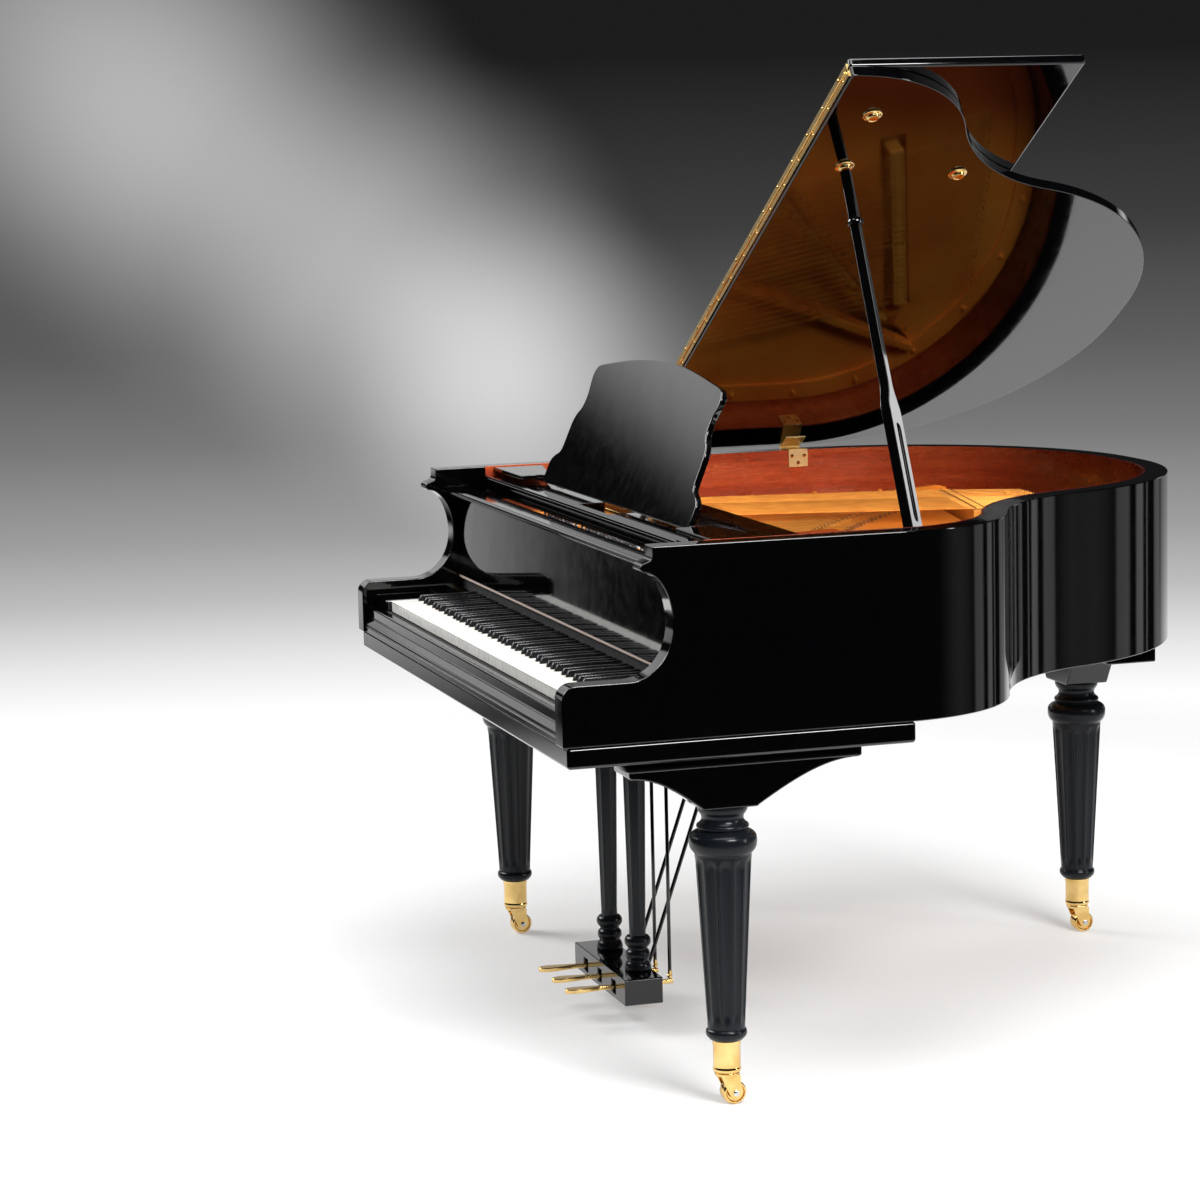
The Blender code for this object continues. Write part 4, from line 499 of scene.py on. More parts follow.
MAHOGANY = Finish("mahogany_veneer", (0.30, 0.05, 0.02), 0.28, coat=0.45, coat_roughness=0.05)
along = MAHOGANY.place((1.0, 1.0, 1.0), uv=True)
warp = MAHOGANY.noise(MAHOGANY.node("Mapping", None, {"Vector": along, "Scale": (2.2, 9.0, 1.0)}),
                      2.0, 2.0)
bands = MAHOGANY.noise(MAHOGANY.node("Mapping", None, {"Vector": along, "Scale": (1.6, 60.0, 1.0)}),
                       1.0, 4.0, 0.6, 0.6)
pores = MAHOGANY.noise(MAHOGANY.node("Mapping", None, {"Vector": along, "Scale": (28.0, 900.0, 1.0)}),
                       1.0, 2.0)
flecks = MAHOGANY.noise(MAHOGANY.node("Mapping", None, {"Vector": along, "Scale": (22.0, 26.0, 1.0)}),
                        1.0, 2.0)
tone = MAHOGANY.ramp(bands * 0.75 + warp * 0.25, (0.30, (0.26, 0.026, 0.008)),
                     (0.48, (0.50, 0.066, 0.018)), (0.70, (0.68, 0.135, 0.038)))
grain = MAHOGANY.ramp(pores, (0.38, (0.45, 0.40, 0.38)), (0.52, (1.0, 1.0, 1.0)))
toned = MAHOGANY.node("Mix", {"data_type": "RGBA", "blend_type": "MULTIPLY"},
                      {0: 0.75, 6: tone, 7: grain}, 2)
# Painted shade: the veneer is multiplied towards a dark wine colour towards the tail.
spot = MAHOGANY.place()
tailward = MAHOGANY.node("VectorMath", {"operation": "DOT_PRODUCT"}, {0: spot, 1: (0.6, 0.8, 0.0)}, 1)
tail_shade = MAHOGANY.ease(tailward, -0.35, 0.42)
veneer_with_painted_shade = MAHOGANY.node("Mix", {"data_type": "RGBA", "blend_type": "MULTIPLY"},
                        {0: tail_shade, 6: toned, 7: (0.13, 0.03, 0.05, 1.0)}, 2)
MAHOGANY.feed(Base_Color=veneer_with_painted_shade, Roughness=flecks * 0.16 + 0.20)
MAHOGANY.bump(pores * 0.6 + bands * 0.4, 0.10, 0.0006)


def band(corners, start):
    """A closed band inside the case outline: its (inset, z) corners carried along it, with flat
    ends. Its UV map runs along the outline and up."""
    rows = [np.column_stack([case_line(inset, start), np.full(len(PATH) + 2, z)])
            for inset, z in corners]
    count, sides = len(rows[0]), len(corners)
    faces = []
    for k in range(sides):
        faces += strip(np.arange(count) + k * count, np.arange(count) + (k + 1) % sides * count)
    faces += [[k * count for k in range(sides)], [count - 1 + k * count for k in range(sides)][::-1]]
    line = case_line(corners[0][0], start)
    run = np.concatenate([[0.0], np.cumsum(np.linalg.norm(np.diff(line, axis=0), axis=1))])
    uv = np.concatenate([np.column_stack([run, row[:, 2] - corner[0]])
                         for corner, row in zip(corners, rows)])
    return np.concatenate(rows), faces, uv


veneer = RIM_WALL + LINING + FIT
points, faces, uv = band([(veneer, LINING_LOW), (veneer, LINING_TOP), (veneer - LINING_LAP, LINING_TOP),
                          (veneer - LINING_LAP, RIM_TOP - 0.0004), (RIM_WALL + FIT, RIM_TOP - 0.0004),
                          (RIM_WALL + FIT, LINING_LOW)], LINING_START)
lining = piece("veneer_lining", points, faces, "case", MAHOGANY, ["rim_lining"], uv=uv)
soften(lining, 0.0008, 1)


# Keybed, keyslip and key blocks
# The thick shelf under the keys, the moulded strip across its front, and the two loose blocks
# that close the ends of the keyboard. All are lacquered with softly rounded edges.

def refined(node, body, finish, width=0.0, segments=2, name=None):
    """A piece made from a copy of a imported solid: its loose triangles merged, its flat faces
    joined, its edges rounded."""
    mesh = frame["nodes"][node].data.copy()
    shape = bmesh.new()
    shape.from_mesh(mesh)
    bmesh.ops.remove_doubles(shape, verts=shape.verts, dist=0.00002)
    bmesh.ops.dissolve_limit(shape, angle_limit=radians(0.4), verts=shape.verts, edges=shape.edges)
    bmesh.ops.recalc_face_normals(shape, faces=shape.faces)
    shape.to_mesh(mesh)
    shape.free()
    if mesh.has_custom_normals:
        mesh.normals_split_custom_set_from_vertices([(0.0, 0.0, 0.0)] * len(mesh.vertices))
    mesh.shade_smooth()
    mesh.set_sharp_from_angle(angle=radians(30.0))
    mesh.materials.clear()
    mesh.materials.append(finish.material)
    made = bpy.data.objects.new(name or f"{node}_piece", mesh)
    bpy.context.scene.collection.objects.link(made)
    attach(made, body)
    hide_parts(node)
    if width:
        soften(made, width, segments)
    return made


for node, width in (("keybed", 0.0018), ("key_block_bass", 0.0025), ("key_block_treble", 0.0025),
                    ("stretcher", 0.0012), ("desk_guide_bass", 0.0010), ("desk_guide_treble", 0.0010)):
    refined(node, "case", EBONY, width, 3)


def slab(outline, low, high):
    """A flat outline filled at two heights and walled between them."""
    outline = np.asarray(outline, float)
    count = len(outline)
    points = np.concatenate([np.column_stack([outline, np.full(count, z)]) for z in (low, high)])
    faces = [list(range(count))[::-1], list(range(count, 2 * count))]
    return points, faces + strip(np.arange(count), np.arange(count) + count, closed=True)


def mould(profile, left, right):
    """A closed (y, z) profile carried along X."""
    points, faces = slab(profile, left, right)
    return points[:, (2, 0, 1)], faces


def arc(centre, radii, first, last, steps):
    """Points on an ellipse between two angles in degrees."""
    turn = np.radians(np.linspace(first, last, steps))
    return np.column_stack([centre[0] + radii[0] * np.cos(turn), centre[1] + radii[1] * np.sin(turn)])


INNER_HALF = CASE_WIDTH / 2 - RIM_WALL
SLIP_BACK, SLIP_FACE, SLIP_STEP, SLIP_TOP = 0.0200, 0.0040, -0.0035, 0.7135
slip_profile = np.concatenate([
    [(SLIP_BACK, RIM_BOTTOM + FIT), (SLIP_BACK, SLIP_TOP - 0.001), (SLIP_BACK - 0.001, SLIP_TOP)],
    arc((SLIP_FACE + 0.005, SLIP_TOP - 0.005), (0.005, 0.005), 90, 180, 7),
    [(SLIP_FACE, 0.6945)], arc((SLIP_FACE, 0.6925), (0.0017, 0.0016), 90, 270, 7),
    [(SLIP_FACE, 0.6900), (SLIP_STEP, 0.6795), (SLIP_STEP, 0.6738)],
    arc((SLIP_STEP, 0.6718), (0.0018, 0.0017), 90, 270, 7), [(SLIP_STEP, RIM_BOTTOM + FIT)]])
keyslip = piece("keyslip_moulding", *mould(slip_profile, -INNER_HALF + FIT, INNER_HALF - FIT), "case",
                EBONY, ["keyslip"])
soften(keyslip, 0.0006, 2)


# Inner rim, pin block and key frame
# Bare laminated maple: pale, with the edges of its laminations as fine lines.

MAPLE = Finish("maple", (0.5, 0.33, 0.18), 0.5)
layers = MAPLE.noise(MAPLE.place((1.0, 1.0, 220.0)), 1.0, 2.0)
fibre = MAPLE.noise(MAPLE.place((14.0, 90.0, 60.0)), 1.0, 4.0)
MAPLE.feed(Base_Color=MAPLE.ramp(layers * 0.5 + fibre * 0.5, (0.32, (0.34, 0.19, 0.085)),
                                 (0.50, (0.50, 0.31, 0.155)), (0.70, (0.62, 0.42, 0.235))),
           Roughness=fibre * 0.25 + 0.40)
MAPLE.bump(fibre, 0.15, 0.0005)
for node, body in (("inner_rim", "case"), ("pin_block", "case"), ("key_frame", "action")):
    refined(node, body, MAPLE, 0.0008, 1)


# Soundboard
# Quarter-sawn spruce, straight-grained on the skew, glued to the inner rim, with ribs below. Its
# varnish is amber, and towards the treble it is darkened to red brown by painted shade.

SOUNDBOARD_BOTTOM, SOUNDBOARD_TOP = 0.855, 0.863
BELLY_RAIL_Y = 0.590
SPRUCE = Finish("spruce", (0.74, 0.36, 0.08), 0.38, coat=0.08, coat_roughness=0.08)
across = SPRUCE.place((430.0, 3.0, 3.0), (0.0, 0.0, radians(38.0)))
rings = SPRUCE.noise(across, 1.0, 2.0, 0.5, 0.3)
patch = SPRUCE.noise(SPRUCE.place(), 4.0, 3.0)
amber = SPRUCE.ramp(rings * 0.8 + patch * 0.2, (0.30, (0.56, 0.19, 0.022)), (0.50, (0.78, 0.32, 0.042)),
                    (0.72, (0.90, 0.44, 0.075)))
# Painted shade: the amber is multiplied towards dark red brown towards the treble.
trebleward = SPRUCE.node("VectorMath", {"operation": "DOT_PRODUCT"},
                         {0: SPRUCE.place(), 1: (1.0, 0.15, 0.0)}, 1)
spruce_with_painted_shade = SPRUCE.node("Mix", {"data_type": "RGBA", "blend_type": "MULTIPLY"},
                     {0: SPRUCE.ease(trebleward, -0.06, 0.14), 6: amber, 7: (0.40, 0.14, 0.15, 1.0)}, 2)
SPRUCE.feed(Base_Color=spruce_with_painted_shade, Roughness=patch * 0.2 + 0.28)
SPRUCE.bump(rings, 0.06, 0.0004)


def together(*shapes):
    """Several (points, faces) shapes as one."""
    points, faces, start = [], [], 0
    for some_points, some_faces in shapes:
        points.append(np.asarray(some_points, float).reshape(-1, 3))
        faces += [[start + corner for corner in face] for face in some_faces]
        start += len(points[-1])
    return np.concatenate(points), faces


board_line = case_line(RIM_WALL + 2 * FIT, BELLY_RAIL_Y)
ribs = []
for near, far in (((-0.56, 0.74), (-0.10, 0.66)), ((-0.59, 0.90), (0.26, 0.75)),
                  ((-0.60, 1.05), (0.22, 0.90)), ((-0.55, 1.19), (0.16, 1.06)),
                  ((-0.46, 1.31), (0.08, 1.21))):
    run = np.subtract(far, near)
    side = np.array([-run[1], run[0]]) / hypot(*run) * 0.012
    corners = [near + side, near - side, far - side, far + side]
    ribs.append(slab(corners, SOUNDBOARD_BOTTOM - 0.020, SOUNDBOARD_BOTTOM + 0.002))
board = piece("spruce_board", *slab(board_line, SOUNDBOARD_BOTTOM, SOUNDBOARD_TOP), "case", SPRUCE,
              ["soundboard"])
rib_set = piece("soundboard_ribs", *together(*ribs), "case", SPRUCE)
soften(rib_set, 0.003, 2)


# Where the strings run
# Each note's string starts at the agraffe line, leans by note and has its own speaking length;
# the 26 bass notes cross over the others at a higher level.

NOTES, BASS_NOTES = 88, 26
SECTION_STARTS, SECTION_GAPS = (26, 53, 71), (0.060, 0.026, 0.026)
STRING_SPAN, AGRAFFE_Y = 1.200, 0.440
PLAIN_Z, BASS_Z = 0.9010, 0.9175
PLATE_BOTTOM, PLATE_TOP = 0.878, 0.890

NOTE = np.arange(NOTES)
IS_BASS = NOTE < BASS_NOTES
gaps = sum(gap * (NOTE >= first) for first, gap in zip(SECTION_STARTS, SECTION_GAPS))
START_X = -STRING_SPAN / 2 + (STRING_SPAN - sum(SECTION_GAPS)) / (NOTES - 1) * NOTE + gaps
LEAN = np.where(IS_BASS, np.radians(-12.0 - 4.0 * NOTE / (BASS_NOTES - 1)),
                radians(22.0) * (NOTES - 1 - NOTE) / (NOTES - 1 - BASS_NOTES))
SPEAKING = np.where(IS_BASS, 0.760 - 0.060 * NOTE / (BASS_NOTES - 1),
                    0.054 * 1.0445 ** (NOTES - 1.0 - NOTE))
BACK_LENGTH = np.where(IS_BASS, 0.920 - SPEAKING, 0.070)
LEVEL = np.where(IS_BASS, BASS_Z, PLAIN_Z)


def on_string(note, distance, sideways=0.0):
    """The point a distance behind the agraffe line on a note's string: start plus distance times
    (-sin, cos) of its lean, moved sideways along (cos, sin)."""
    note = np.asarray(note)
    lean = LEAN[note]
    return np.stack([START_X[note] - distance * np.sin(lean) + sideways * np.cos(lean),
                     AGRAFFE_Y + distance * np.cos(lean) + sideways * np.sin(lean)], -1)


def bridge(notes, half_width, low, high):
    """A strip of even width along the speaking ends of some notes, run on a little at both ends."""
    line = on_string(notes, SPEAKING[notes])
    line[0] += (line[0] - line[1]) / np.linalg.norm(line[0] - line[1]) * 0.012
    line[-1] += (line[-1] - line[-2]) / np.linalg.norm(line[-1] - line[-2]) * 0.012
    ahead = np.gradient(line, axis=0)
    across = np.column_stack([-ahead[:, 1], ahead[:, 0]])
    across *= half_width / np.linalg.norm(across, axis=1)[:, None]
    return slab(np.concatenate([line + across, (line - across)[::-1]]), low, high)


long_notes = np.array([*range(BASS_NOTES, NOTES, 3), NOTES - 1])
bass_notes = np.array([0, 5, 10, 15, 20, BASS_NOTES - 1])
bridges = piece("bridges", *together(bridge(long_notes, 0.0150, SOUNDBOARD_TOP, PLAIN_Z - 0.0011),
                                     bridge(bass_notes, 0.0150, SOUNDBOARD_TOP, BASS_Z - 0.0017)),
                "case", SPRUCE)
soften(bridges, 0.0012, 2)


# Iron plate
# One gray iron casting, sprayed with bronze gold and varnished: the pin field in front, a flange
# round the rim, and struts between the sections. It keeps the sand's fine grain.

GOLD = Finish("gilded_iron", (0.94, 0.36, 0.035), 0.42, metallic=0.30)
GOLD.shader.inputs["Specular IOR Level"].default_value = 0.08
sand = GOLD.noise(GOLD.place(), 420.0, 3.0, 0.6)
cloud = GOLD.noise(GOLD.place(), 7.0, 3.0)
gilt = GOLD.ramp(cloud * 0.7 + sand * 0.3, (0.30, (0.78, 0.21, 0.028)), (0.52, (0.90, 0.30, 0.038)),
                 (0.72, (0.96, 0.40, 0.055)))
# Painted shade: the gilt is multiplied towards a dull purple brown towards the treble.
trebleward = GOLD.node("VectorMath", {"operation": "DOT_PRODUCT"},
                       {0: GOLD.place(), 1: (1.0, 0.15, 0.0)}, 1)
gilt_with_painted_shade = GOLD.node("Mix", {"data_type": "RGBA", "blend_type": "MULTIPLY"},
                    {0: GOLD.ease(trebleward, -0.10, 0.10), 6: gilt, 7: (0.40, 0.22, 0.34, 1.0)}, 2)
GOLD.feed(Base_Color=gilt_with_painted_shade, Roughness=sand * 0.25 + 0.24)
GOLD.bump(sand, 0.22, 0.0005)
plate = refined("iron_plate", "case", GOLD, 0.0022, 2, name="gold_plate")


def lathe(profile, steps, axis="Z"):
    """A profile of (radius, height) turned about an axis: x = r cos, y = r sin. A radius of zero
    closes to one pole point."""
    profile = np.asarray(profile, float)
    angle = np.arange(steps) * 2 * pi / steps
    points, rows = [], []
    for radius, height in profile:
        start = sum(len(row) for row in points)
        if radius < 1e-6:
            points.append(np.array([[0.0, 0.0, height]]))
            rows.append(np.full(steps, start))
        else:
            points.append(np.column_stack([radius * np.cos(angle), radius * np.sin(angle),
                                           np.full(steps, height)]))
            rows.append(np.arange(steps) + start)
    faces = []
    for first, second in zip(rows, rows[1:]):
        if first[0] == first[1] and second[0] == second[1]:
            continue
        quads = strip(first, second, closed=True)
        faces += [[q for i, q in enumerate(quad) if q not in quad[:i]] for quad in quads]
    for row, reverse in ((rows[0], True), (rows[-1], False)):
        if row[0] != row[1]:
            faces.append(row.tolist()[::-1] if reverse else row.tolist())
    points = np.concatenate(points)
    if axis == "X":
        points = points[:, (2, 0, 1)]
    if axis == "Y":
        points = points[:, (1, 2, 0)]
    return points, faces


BRASS = Finish("polished_brass", (0.85, 0.60, 0.24), 0.16, metallic=1.0)
tarnish = BRASS.noise(BRASS.place(), 30.0, 4.0)
scratch = BRASS.noise(BRASS.place((40.0, 40.0, 900.0)), 1.0, 2.0)
BRASS.feed(Base_Color=BRASS.ramp(tarnish, (0.30, (0.74, 0.46, 0.14)), (0.60, (0.88, 0.62, 0.25))),
           Roughness=tarnish * 0.14 + scratch * 0.08 + 0.05)
BRASS.bump(scratch, 0.04, 0.0003)

bolt = lathe([(0.0, 0.0072), (0.0030, 0.0068), (0.0052, 0.0052), (0.0062, 0.0028), (0.0062, 0.0020),
              (0.0090, 0.0018), (0.0092, 0.0)], 14)
flange_line = case_line(0.0700, 0.640)
walk = np.concatenate([[0.0], np.cumsum(np.linalg.norm(np.diff(flange_line, axis=0), axis=1))])
stops = np.linspace(0.06, walk[-1] - 0.06, 17)
bolt_xy = np.column_stack([np.interp(stops, walk, flange_line[:, k]) for k in (0, 1)])
bolt_places = np.column_stack([bolt_xy, np.full(len(stops), 0.8958)])
front_bolts = [(x, 0.2720, PLATE_TOP - 0.0003) for x in (-0.62, -0.31, -0.02, 0.29, 0.50, 0.64)]
bolts = piece("plate_bolts", *together(*[(bolt[0] + p, bolt[1]) for p in bolt_places],
                                       *[(bolt[0] + p, bolt[1]) for p in np.array(front_bolts)]),
              "case", GOLD)


# Strings
# Drawn steel wire, three to a note in the treble and two in the tenor, and copper-wound wire in
# the bass, two or one to a note. Each runs from its tuning pin over a brass agraffe and the
# bridge's pins to a hitch pin at the plate's edge.

STEEL = Finish("string_steel", (0.60, 0.60, 0.63), 0.22, metallic=1.0)
sheen = STEEL.noise(STEEL.place((60.0, 2.0, 60.0)), 1.0, 2.0)
STEEL.feed(Roughness=sheen * 0.2 + 0.12, Base_Color=STEEL.ramp(sheen, (0.3, (0.50, 0.50, 0.53)),
                                                               (0.7, (0.70, 0.70, 0.72))))
# Painted reflection: the plain steel wire is coloured warm orange for the gold plate and warm light it reflects.
STEEL_WIRE_WARM_REFLECTION = Finish("steel_wire_painted_reflection", (0.80, 0.36, 0.08), 0.34, metallic=0.7)
gleam = STEEL_WIRE_WARM_REFLECTION.noise(STEEL_WIRE_WARM_REFLECTION.place((60.0, 2.0, 60.0)), 1.0, 2.0)
STEEL_WIRE_WARM_REFLECTION.feed(Roughness=gleam * 0.2 + 0.26, Base_Color=STEEL_WIRE_WARM_REFLECTION.ramp(gleam, (0.3, (0.64, 0.24, 0.035)),
                                                             (0.7, (0.84, 0.38, 0.070))))
COPPER = Finish("copper_winding", (0.90, 0.34, 0.06), 0.34, metallic=0.7)
winding = COPPER.node("TexWave", {"wave_type": "BANDS", "bands_direction": "Y"},
                      {"Vector": COPPER.place(), "Scale": 320.0, "Distortion": 0.0})
age = COPPER.noise(COPPER.place(), 25.0, 3.0)
COPPER.feed(Base_Color=COPPER.ramp(age, (0.3, (0.74, 0.23, 0.030)), (0.7, (0.94, 0.37, 0.055))),
            Roughness=age * 0.2 + 0.26)
COPPER.bump(winding, 0.5, 0.0004)

PIN_ROW_Y, PIN_ROWS, PIN_STEP, PIN_STAGGER = 0.298, 3, 0.026, 0.009


def string_table():
    """One row for each string: its note and its offset sideways from the note's line."""
    notes, offsets = [], []
    for note in range(NOTES):
        count = 1 if note < 10 else 2 if note < BASS_NOTES else 3
        spread = (np.arange(count) - (count - 1) / 2) * (0.0042 if note < BASS_NOTES else 0.0031)
        notes += [note] * count
        offsets += spread.tolist()
    return np.array(notes), np.array(offsets)


STRING_NOTE, STRING_SIDE = string_table()
order = np.arange(len(STRING_NOTE))
rank = order - np.searchsorted(STRING_NOTE, STRING_NOTE)
PIN_XY = np.column_stack([START_X[STRING_NOTE] + (rank - 1) * 0.0036,
                          PIN_ROW_Y + PIN_STEP * rank + PIN_STAGGER * (STRING_NOTE % 2)])


def tubes(lines, radii, sides=6):
    """Round wires along broken lines (wires, stations, 3): at each station a ring across the
    wire's direction seen from above, so ring = centre + r (cos a * across + sin a * up)."""
    wires, stations = lines.shape[:2]
    ahead = np.gradient(lines, axis=1)
    across = np.stack([ahead[..., 1], -ahead[..., 0], 0 * ahead[..., 0]], -1)
    across /= np.linalg.norm(across, axis=-1, keepdims=True)
    up = np.cross(across, ahead)
    up /= np.linalg.norm(up, axis=-1, keepdims=True)
    angle = np.arange(sides) * 2 * pi / sides
    ring = (across[:, :, None] * np.cos(angle)[:, None] + up[:, :, None] * np.sin(angle)[:, None])
    points = lines[:, :, None] + ring * np.asarray(radii)[:, None, None, None]
    here = np.arange(sides)
    quad = np.stack([here, (here + 1) % sides, (here + 1) % sides + sides, here + sides], 1)
    starts = np.arange(wires)[:, None, None, None] * stations * sides
    steps = np.arange(stations - 1)[None, :, None, None] * sides
    faces = (quad[None, None] + starts + steps).reshape(-1, 4).tolist()
    ends = np.arange(wires)[:, None] * stations * sides
    faces += (ends + here[::-1]).tolist() + (ends + (stations - 1) * sides + here).tolist()
    return points.reshape(-1, 3), faces


speak, back = SPEAKING[STRING_NOTE], BACK_LENGTH[STRING_NOTE]
level = LEVEL[STRING_NOTE]
bass_wire = STRING_NOTE < BASS_NOTES
core = np.where(bass_wire, 0.00055, 0.00052)
stations = [np.column_stack([PIN_XY + (0.0040, 0.002), np.full(len(order), 0.9010)])]
for distance, lift in ((-0.004, 0.0), (0.0, 0.0), (speak - 0.012, 0.0), (speak, 0.0006),
                       (speak + 0.014, 0.0), (speak + back, -0.004)):
    kink = 0.0008 * (np.asarray(distance) >= speak)
    xy = on_string(STRING_NOTE, distance + 0 * speak, STRING_SIDE + kink)
    stations.append(np.column_stack([xy, level + lift]))
lines = np.stack(stations, 1)
steel_wires = piece("steel_wires", *tubes(lines, core), "case", STEEL_WIRE_WARM_REFLECTION, ["plain_strings"])
wound = STRING_NOTE < BASS_NOTES
thick = 0.0019 - 0.0009 * STRING_NOTE[wound] / BASS_NOTES
wrap = np.stack([np.column_stack([on_string(STRING_NOTE[wound], at, STRING_SIDE[wound]),
                                  level[wound]])
                 for at in (0.020, 0.021, speak[wound] * 0.5, speak[wound] - 0.026,
                            speak[wound] - 0.025)], 1)
copper_wires = piece("copper_wires", *tubes(wrap, thick, 8), "case", COPPER, ["bass_strings"])

stud = lathe([(0.0, 0.0052), (0.0030, 0.0046), (0.0041, 0.0030), (0.0041, -0.0045), (0.0056, -0.0052),
              (0.0056, -0.0100), (0.0, -0.0100)], 10)
stud_places = np.column_stack([START_X, np.full(NOTES, AGRAFFE_Y), LEVEL])
agraffes = piece("agraffes", *together(*[(stud[0] + p, stud[1]) for p in stud_places]), "case", BRASS)

hitch = lathe([(0.0, 0.0105), (0.0013, 0.0100), (0.0016, 0.0), (0.0, 0.0)], 6)
hitch_xy = on_string(STRING_NOTE, speak + back + 0.0012, STRING_SIDE + 0.0008)
hitch_z = np.where(bass_wire, level - 0.011, level - 0.0125)
bridge_pin = lathe([(0.0, 0.0035), (0.0009, 0.0032), (0.0009, -0.0025), (0.0, -0.0025)], 5)
pin_sets = [np.column_stack([on_string(STRING_NOTE, speak + step, STRING_SIDE + shift), level])
            for step, shift in ((-0.0085, 0.0011), (0.0095, -0.0003))]
small_pins = together(*[(hitch[0] + p, hitch[1]) for p in np.column_stack([hitch_xy, hitch_z])],
                      *[(bridge_pin[0] + p, bridge_pin[1]) for row in pin_sets for p in row])
pins_piece = piece("hitch_and_bridge_pins", *small_pins, "case", STEEL)


# Tuning pins
# One blued steel pin to each string, driven through the plate into the pin block, with three
# turns of wire round it and a squared head for the tuning lever.

coil = [(0.0044, 0.0075 + 0.0012 * i) for i in range(4)]
coils = [row for radius, height in coil for row in ((0.0036, height - 0.0005), (radius, height))]
pin_profile = [(0.0034, -0.0010), (0.0034, 0.0060), *coils, (0.0034, 0.0125), (0.0034, 0.0180),
               (0.0028, 0.0195), (0.0027, 0.0245), (0.0020, 0.0252), (0.0, 0.0252)]
tuning_pin = lathe(pin_profile, 8)
pin_places = np.column_stack([PIN_XY, np.full(len(order), PLATE_TOP)])
tuning_pins = piece("tuning_pins", *together(*[(tuning_pin[0] + p, tuning_pin[1]) for p in pin_places]),
                    "case", STEEL)


# Dampers
# Black lacquered wooden heads with a cushion of dark felt, each on a wire that rises through
# the strings from a tray behind the action.

FELT = Finish("damper_felt", (0.16, 0.14, 0.12), 0.95)
nap = FELT.noise(FELT.place(), 900.0, 4.0, 0.7)
FELT.feed(Base_Color=FELT.ramp(nap, (0.3, (0.10, 0.085, 0.07)), (0.7, (0.22, 0.19, 0.16))))
FELT.bump(nap, 0.6, 0.0008)

DAMPERS, DAMPER_Y = 66, 0.515
heads_at = on_string(np.arange(DAMPERS), DAMPER_Y - AGRAFFE_Y)
seats = np.where(IS_BASS[:DAMPERS], BASS_Z + 0.0017, PLAIN_Z + 0.0011)
half, long = 0.00475, 0.0130


def loaf(half_width, half_length, low, high, round_over):
    """A block with a rounded top: its profile across X carried along Y."""
    turn = np.linspace(0.0, pi / 2, 4)
    right = np.column_stack([half_width - round_over * (1 - np.cos(turn)),
                             high - round_over * (1 - np.sin(turn))])
    profile = np.concatenate([[(half_width, low)], right, right[::-1] * (-1.0, 1.0),
                              [(-half_width, low)]])
    count = len(profile)
    points = np.concatenate([np.column_stack([profile[:, 0], np.full(count, y), profile[:, 1]])
                             for y in (-half_length, half_length)])
    faces = strip(np.arange(count), np.arange(count) + count, closed=True)
    return points, faces + [list(range(count)), list(range(count, 2 * count))[::-1]]


wood = loaf(half, long, 0.0065, 0.0200, 0.0018)
cushion = loaf(half - 0.0007, long - 0.001, 0.0, 0.0066, 0.0002)
head_places = np.column_stack([heads_at, seats])
damper_heads = piece("damper_heads", *together(*[(wood[0] + p, wood[1]) for p in head_places]),
                     "damper_lift", EBONY, ["dampers"])
soften(damper_heads, 0.0006, 1)
damper_felt = piece("damper_felts", *together(*[(cushion[0] + p, cushion[1]) for p in head_places]),
                    "damper_lift", FELT)
wire_x = heads_at[:, 0] + 0.0032
wire_lines = np.stack([np.column_stack([wire_x, heads_at[:, 1] + 0.0002 * k, np.full(DAMPERS, z)])
                       for k, z in enumerate((0.806, 0.850, 0.905))], 1)
damper_wires = piece("damper_wires", *tubes(wire_lines, np.full(DAMPERS, 0.0009)), "damper_lift",
                     STEEL)
tray_left, tray_right = heads_at[0, 0] - half, heads_at[-1, 0] + half
tray = piece("damper_tray", *slab([(tray_left, DAMPER_Y - 0.012), (tray_right, DAMPER_Y - 0.012),
                                   (tray_right, DAMPER_Y + 0.012), (tray_left, DAMPER_Y + 0.012)],
                                  0.800, 0.812), "damper_lift", MAPLE)
soften(tray, 0.0015, 2)


# White keys
# Moulded ivory-white tops with a small lip over their fronts, notched round the black keys, on
# wooden levers whose bare tails run back under the fallboard. An octave tips as one.

KEY_PITCH, KEY_GAP = 0.0235, 0.0010
KEY_FRONT, KEY_HEAD_END, KEY_JOIN, KEY_TAIL_END = 0.030, 0.080, 0.212, 0.420
KEY_TOP, KEY_BOTTOM, KEY_PLATE = 0.735, 0.713, 0.0024
SHARP_WIDTH, SHARP_TOP, SHARP_END = 0.0105, 0.747, 0.2035
WHITE_CLASSES, FIRST_CLASS = (0, 2, 4, 5, 7, 9, 11), 9
SHARP_SHIFT = {1: -0.0018, 3: 0.0018, 6: -0.0026, 8: 0.0, 10: 0.0026}

KEYTOP = Finish("white_keytop", (0.88, 0.87, 0.83), 0.16, coat=0.3, coat_roughness=0.05)
clouding = KEYTOP.noise(KEYTOP.place(), 22.0, 3.0)
wear = KEYTOP.noise(KEYTOP.place((160.0, 22.0, 60.0)), 1.0, 3.0)
KEYTOP.feed(Base_Color=KEYTOP.ramp(clouding, (0.30, (0.85, 0.84, 0.80)), (0.70, (0.92, 0.91, 0.87))),
            Roughness=wear * 0.16 + 0.08)
KEYTOP.bump(wear, 0.02, 0.0003)


def keyboard():
    """Each key from the bass up: whether it is white, and the x of its middle."""
    keys, white = [], 0
    for note in range(NOTES):
        kind = (note + FIRST_CLASS) % 12
        left = (white - 26) * KEY_PITCH
        if kind in WHITE_CLASSES:
            keys.append((True, left + KEY_PITCH / 2))
            white += 1
        else:
            keys.append((False, left + SHARP_SHIFT[kind]))
    return keys


KEYS = keyboard()


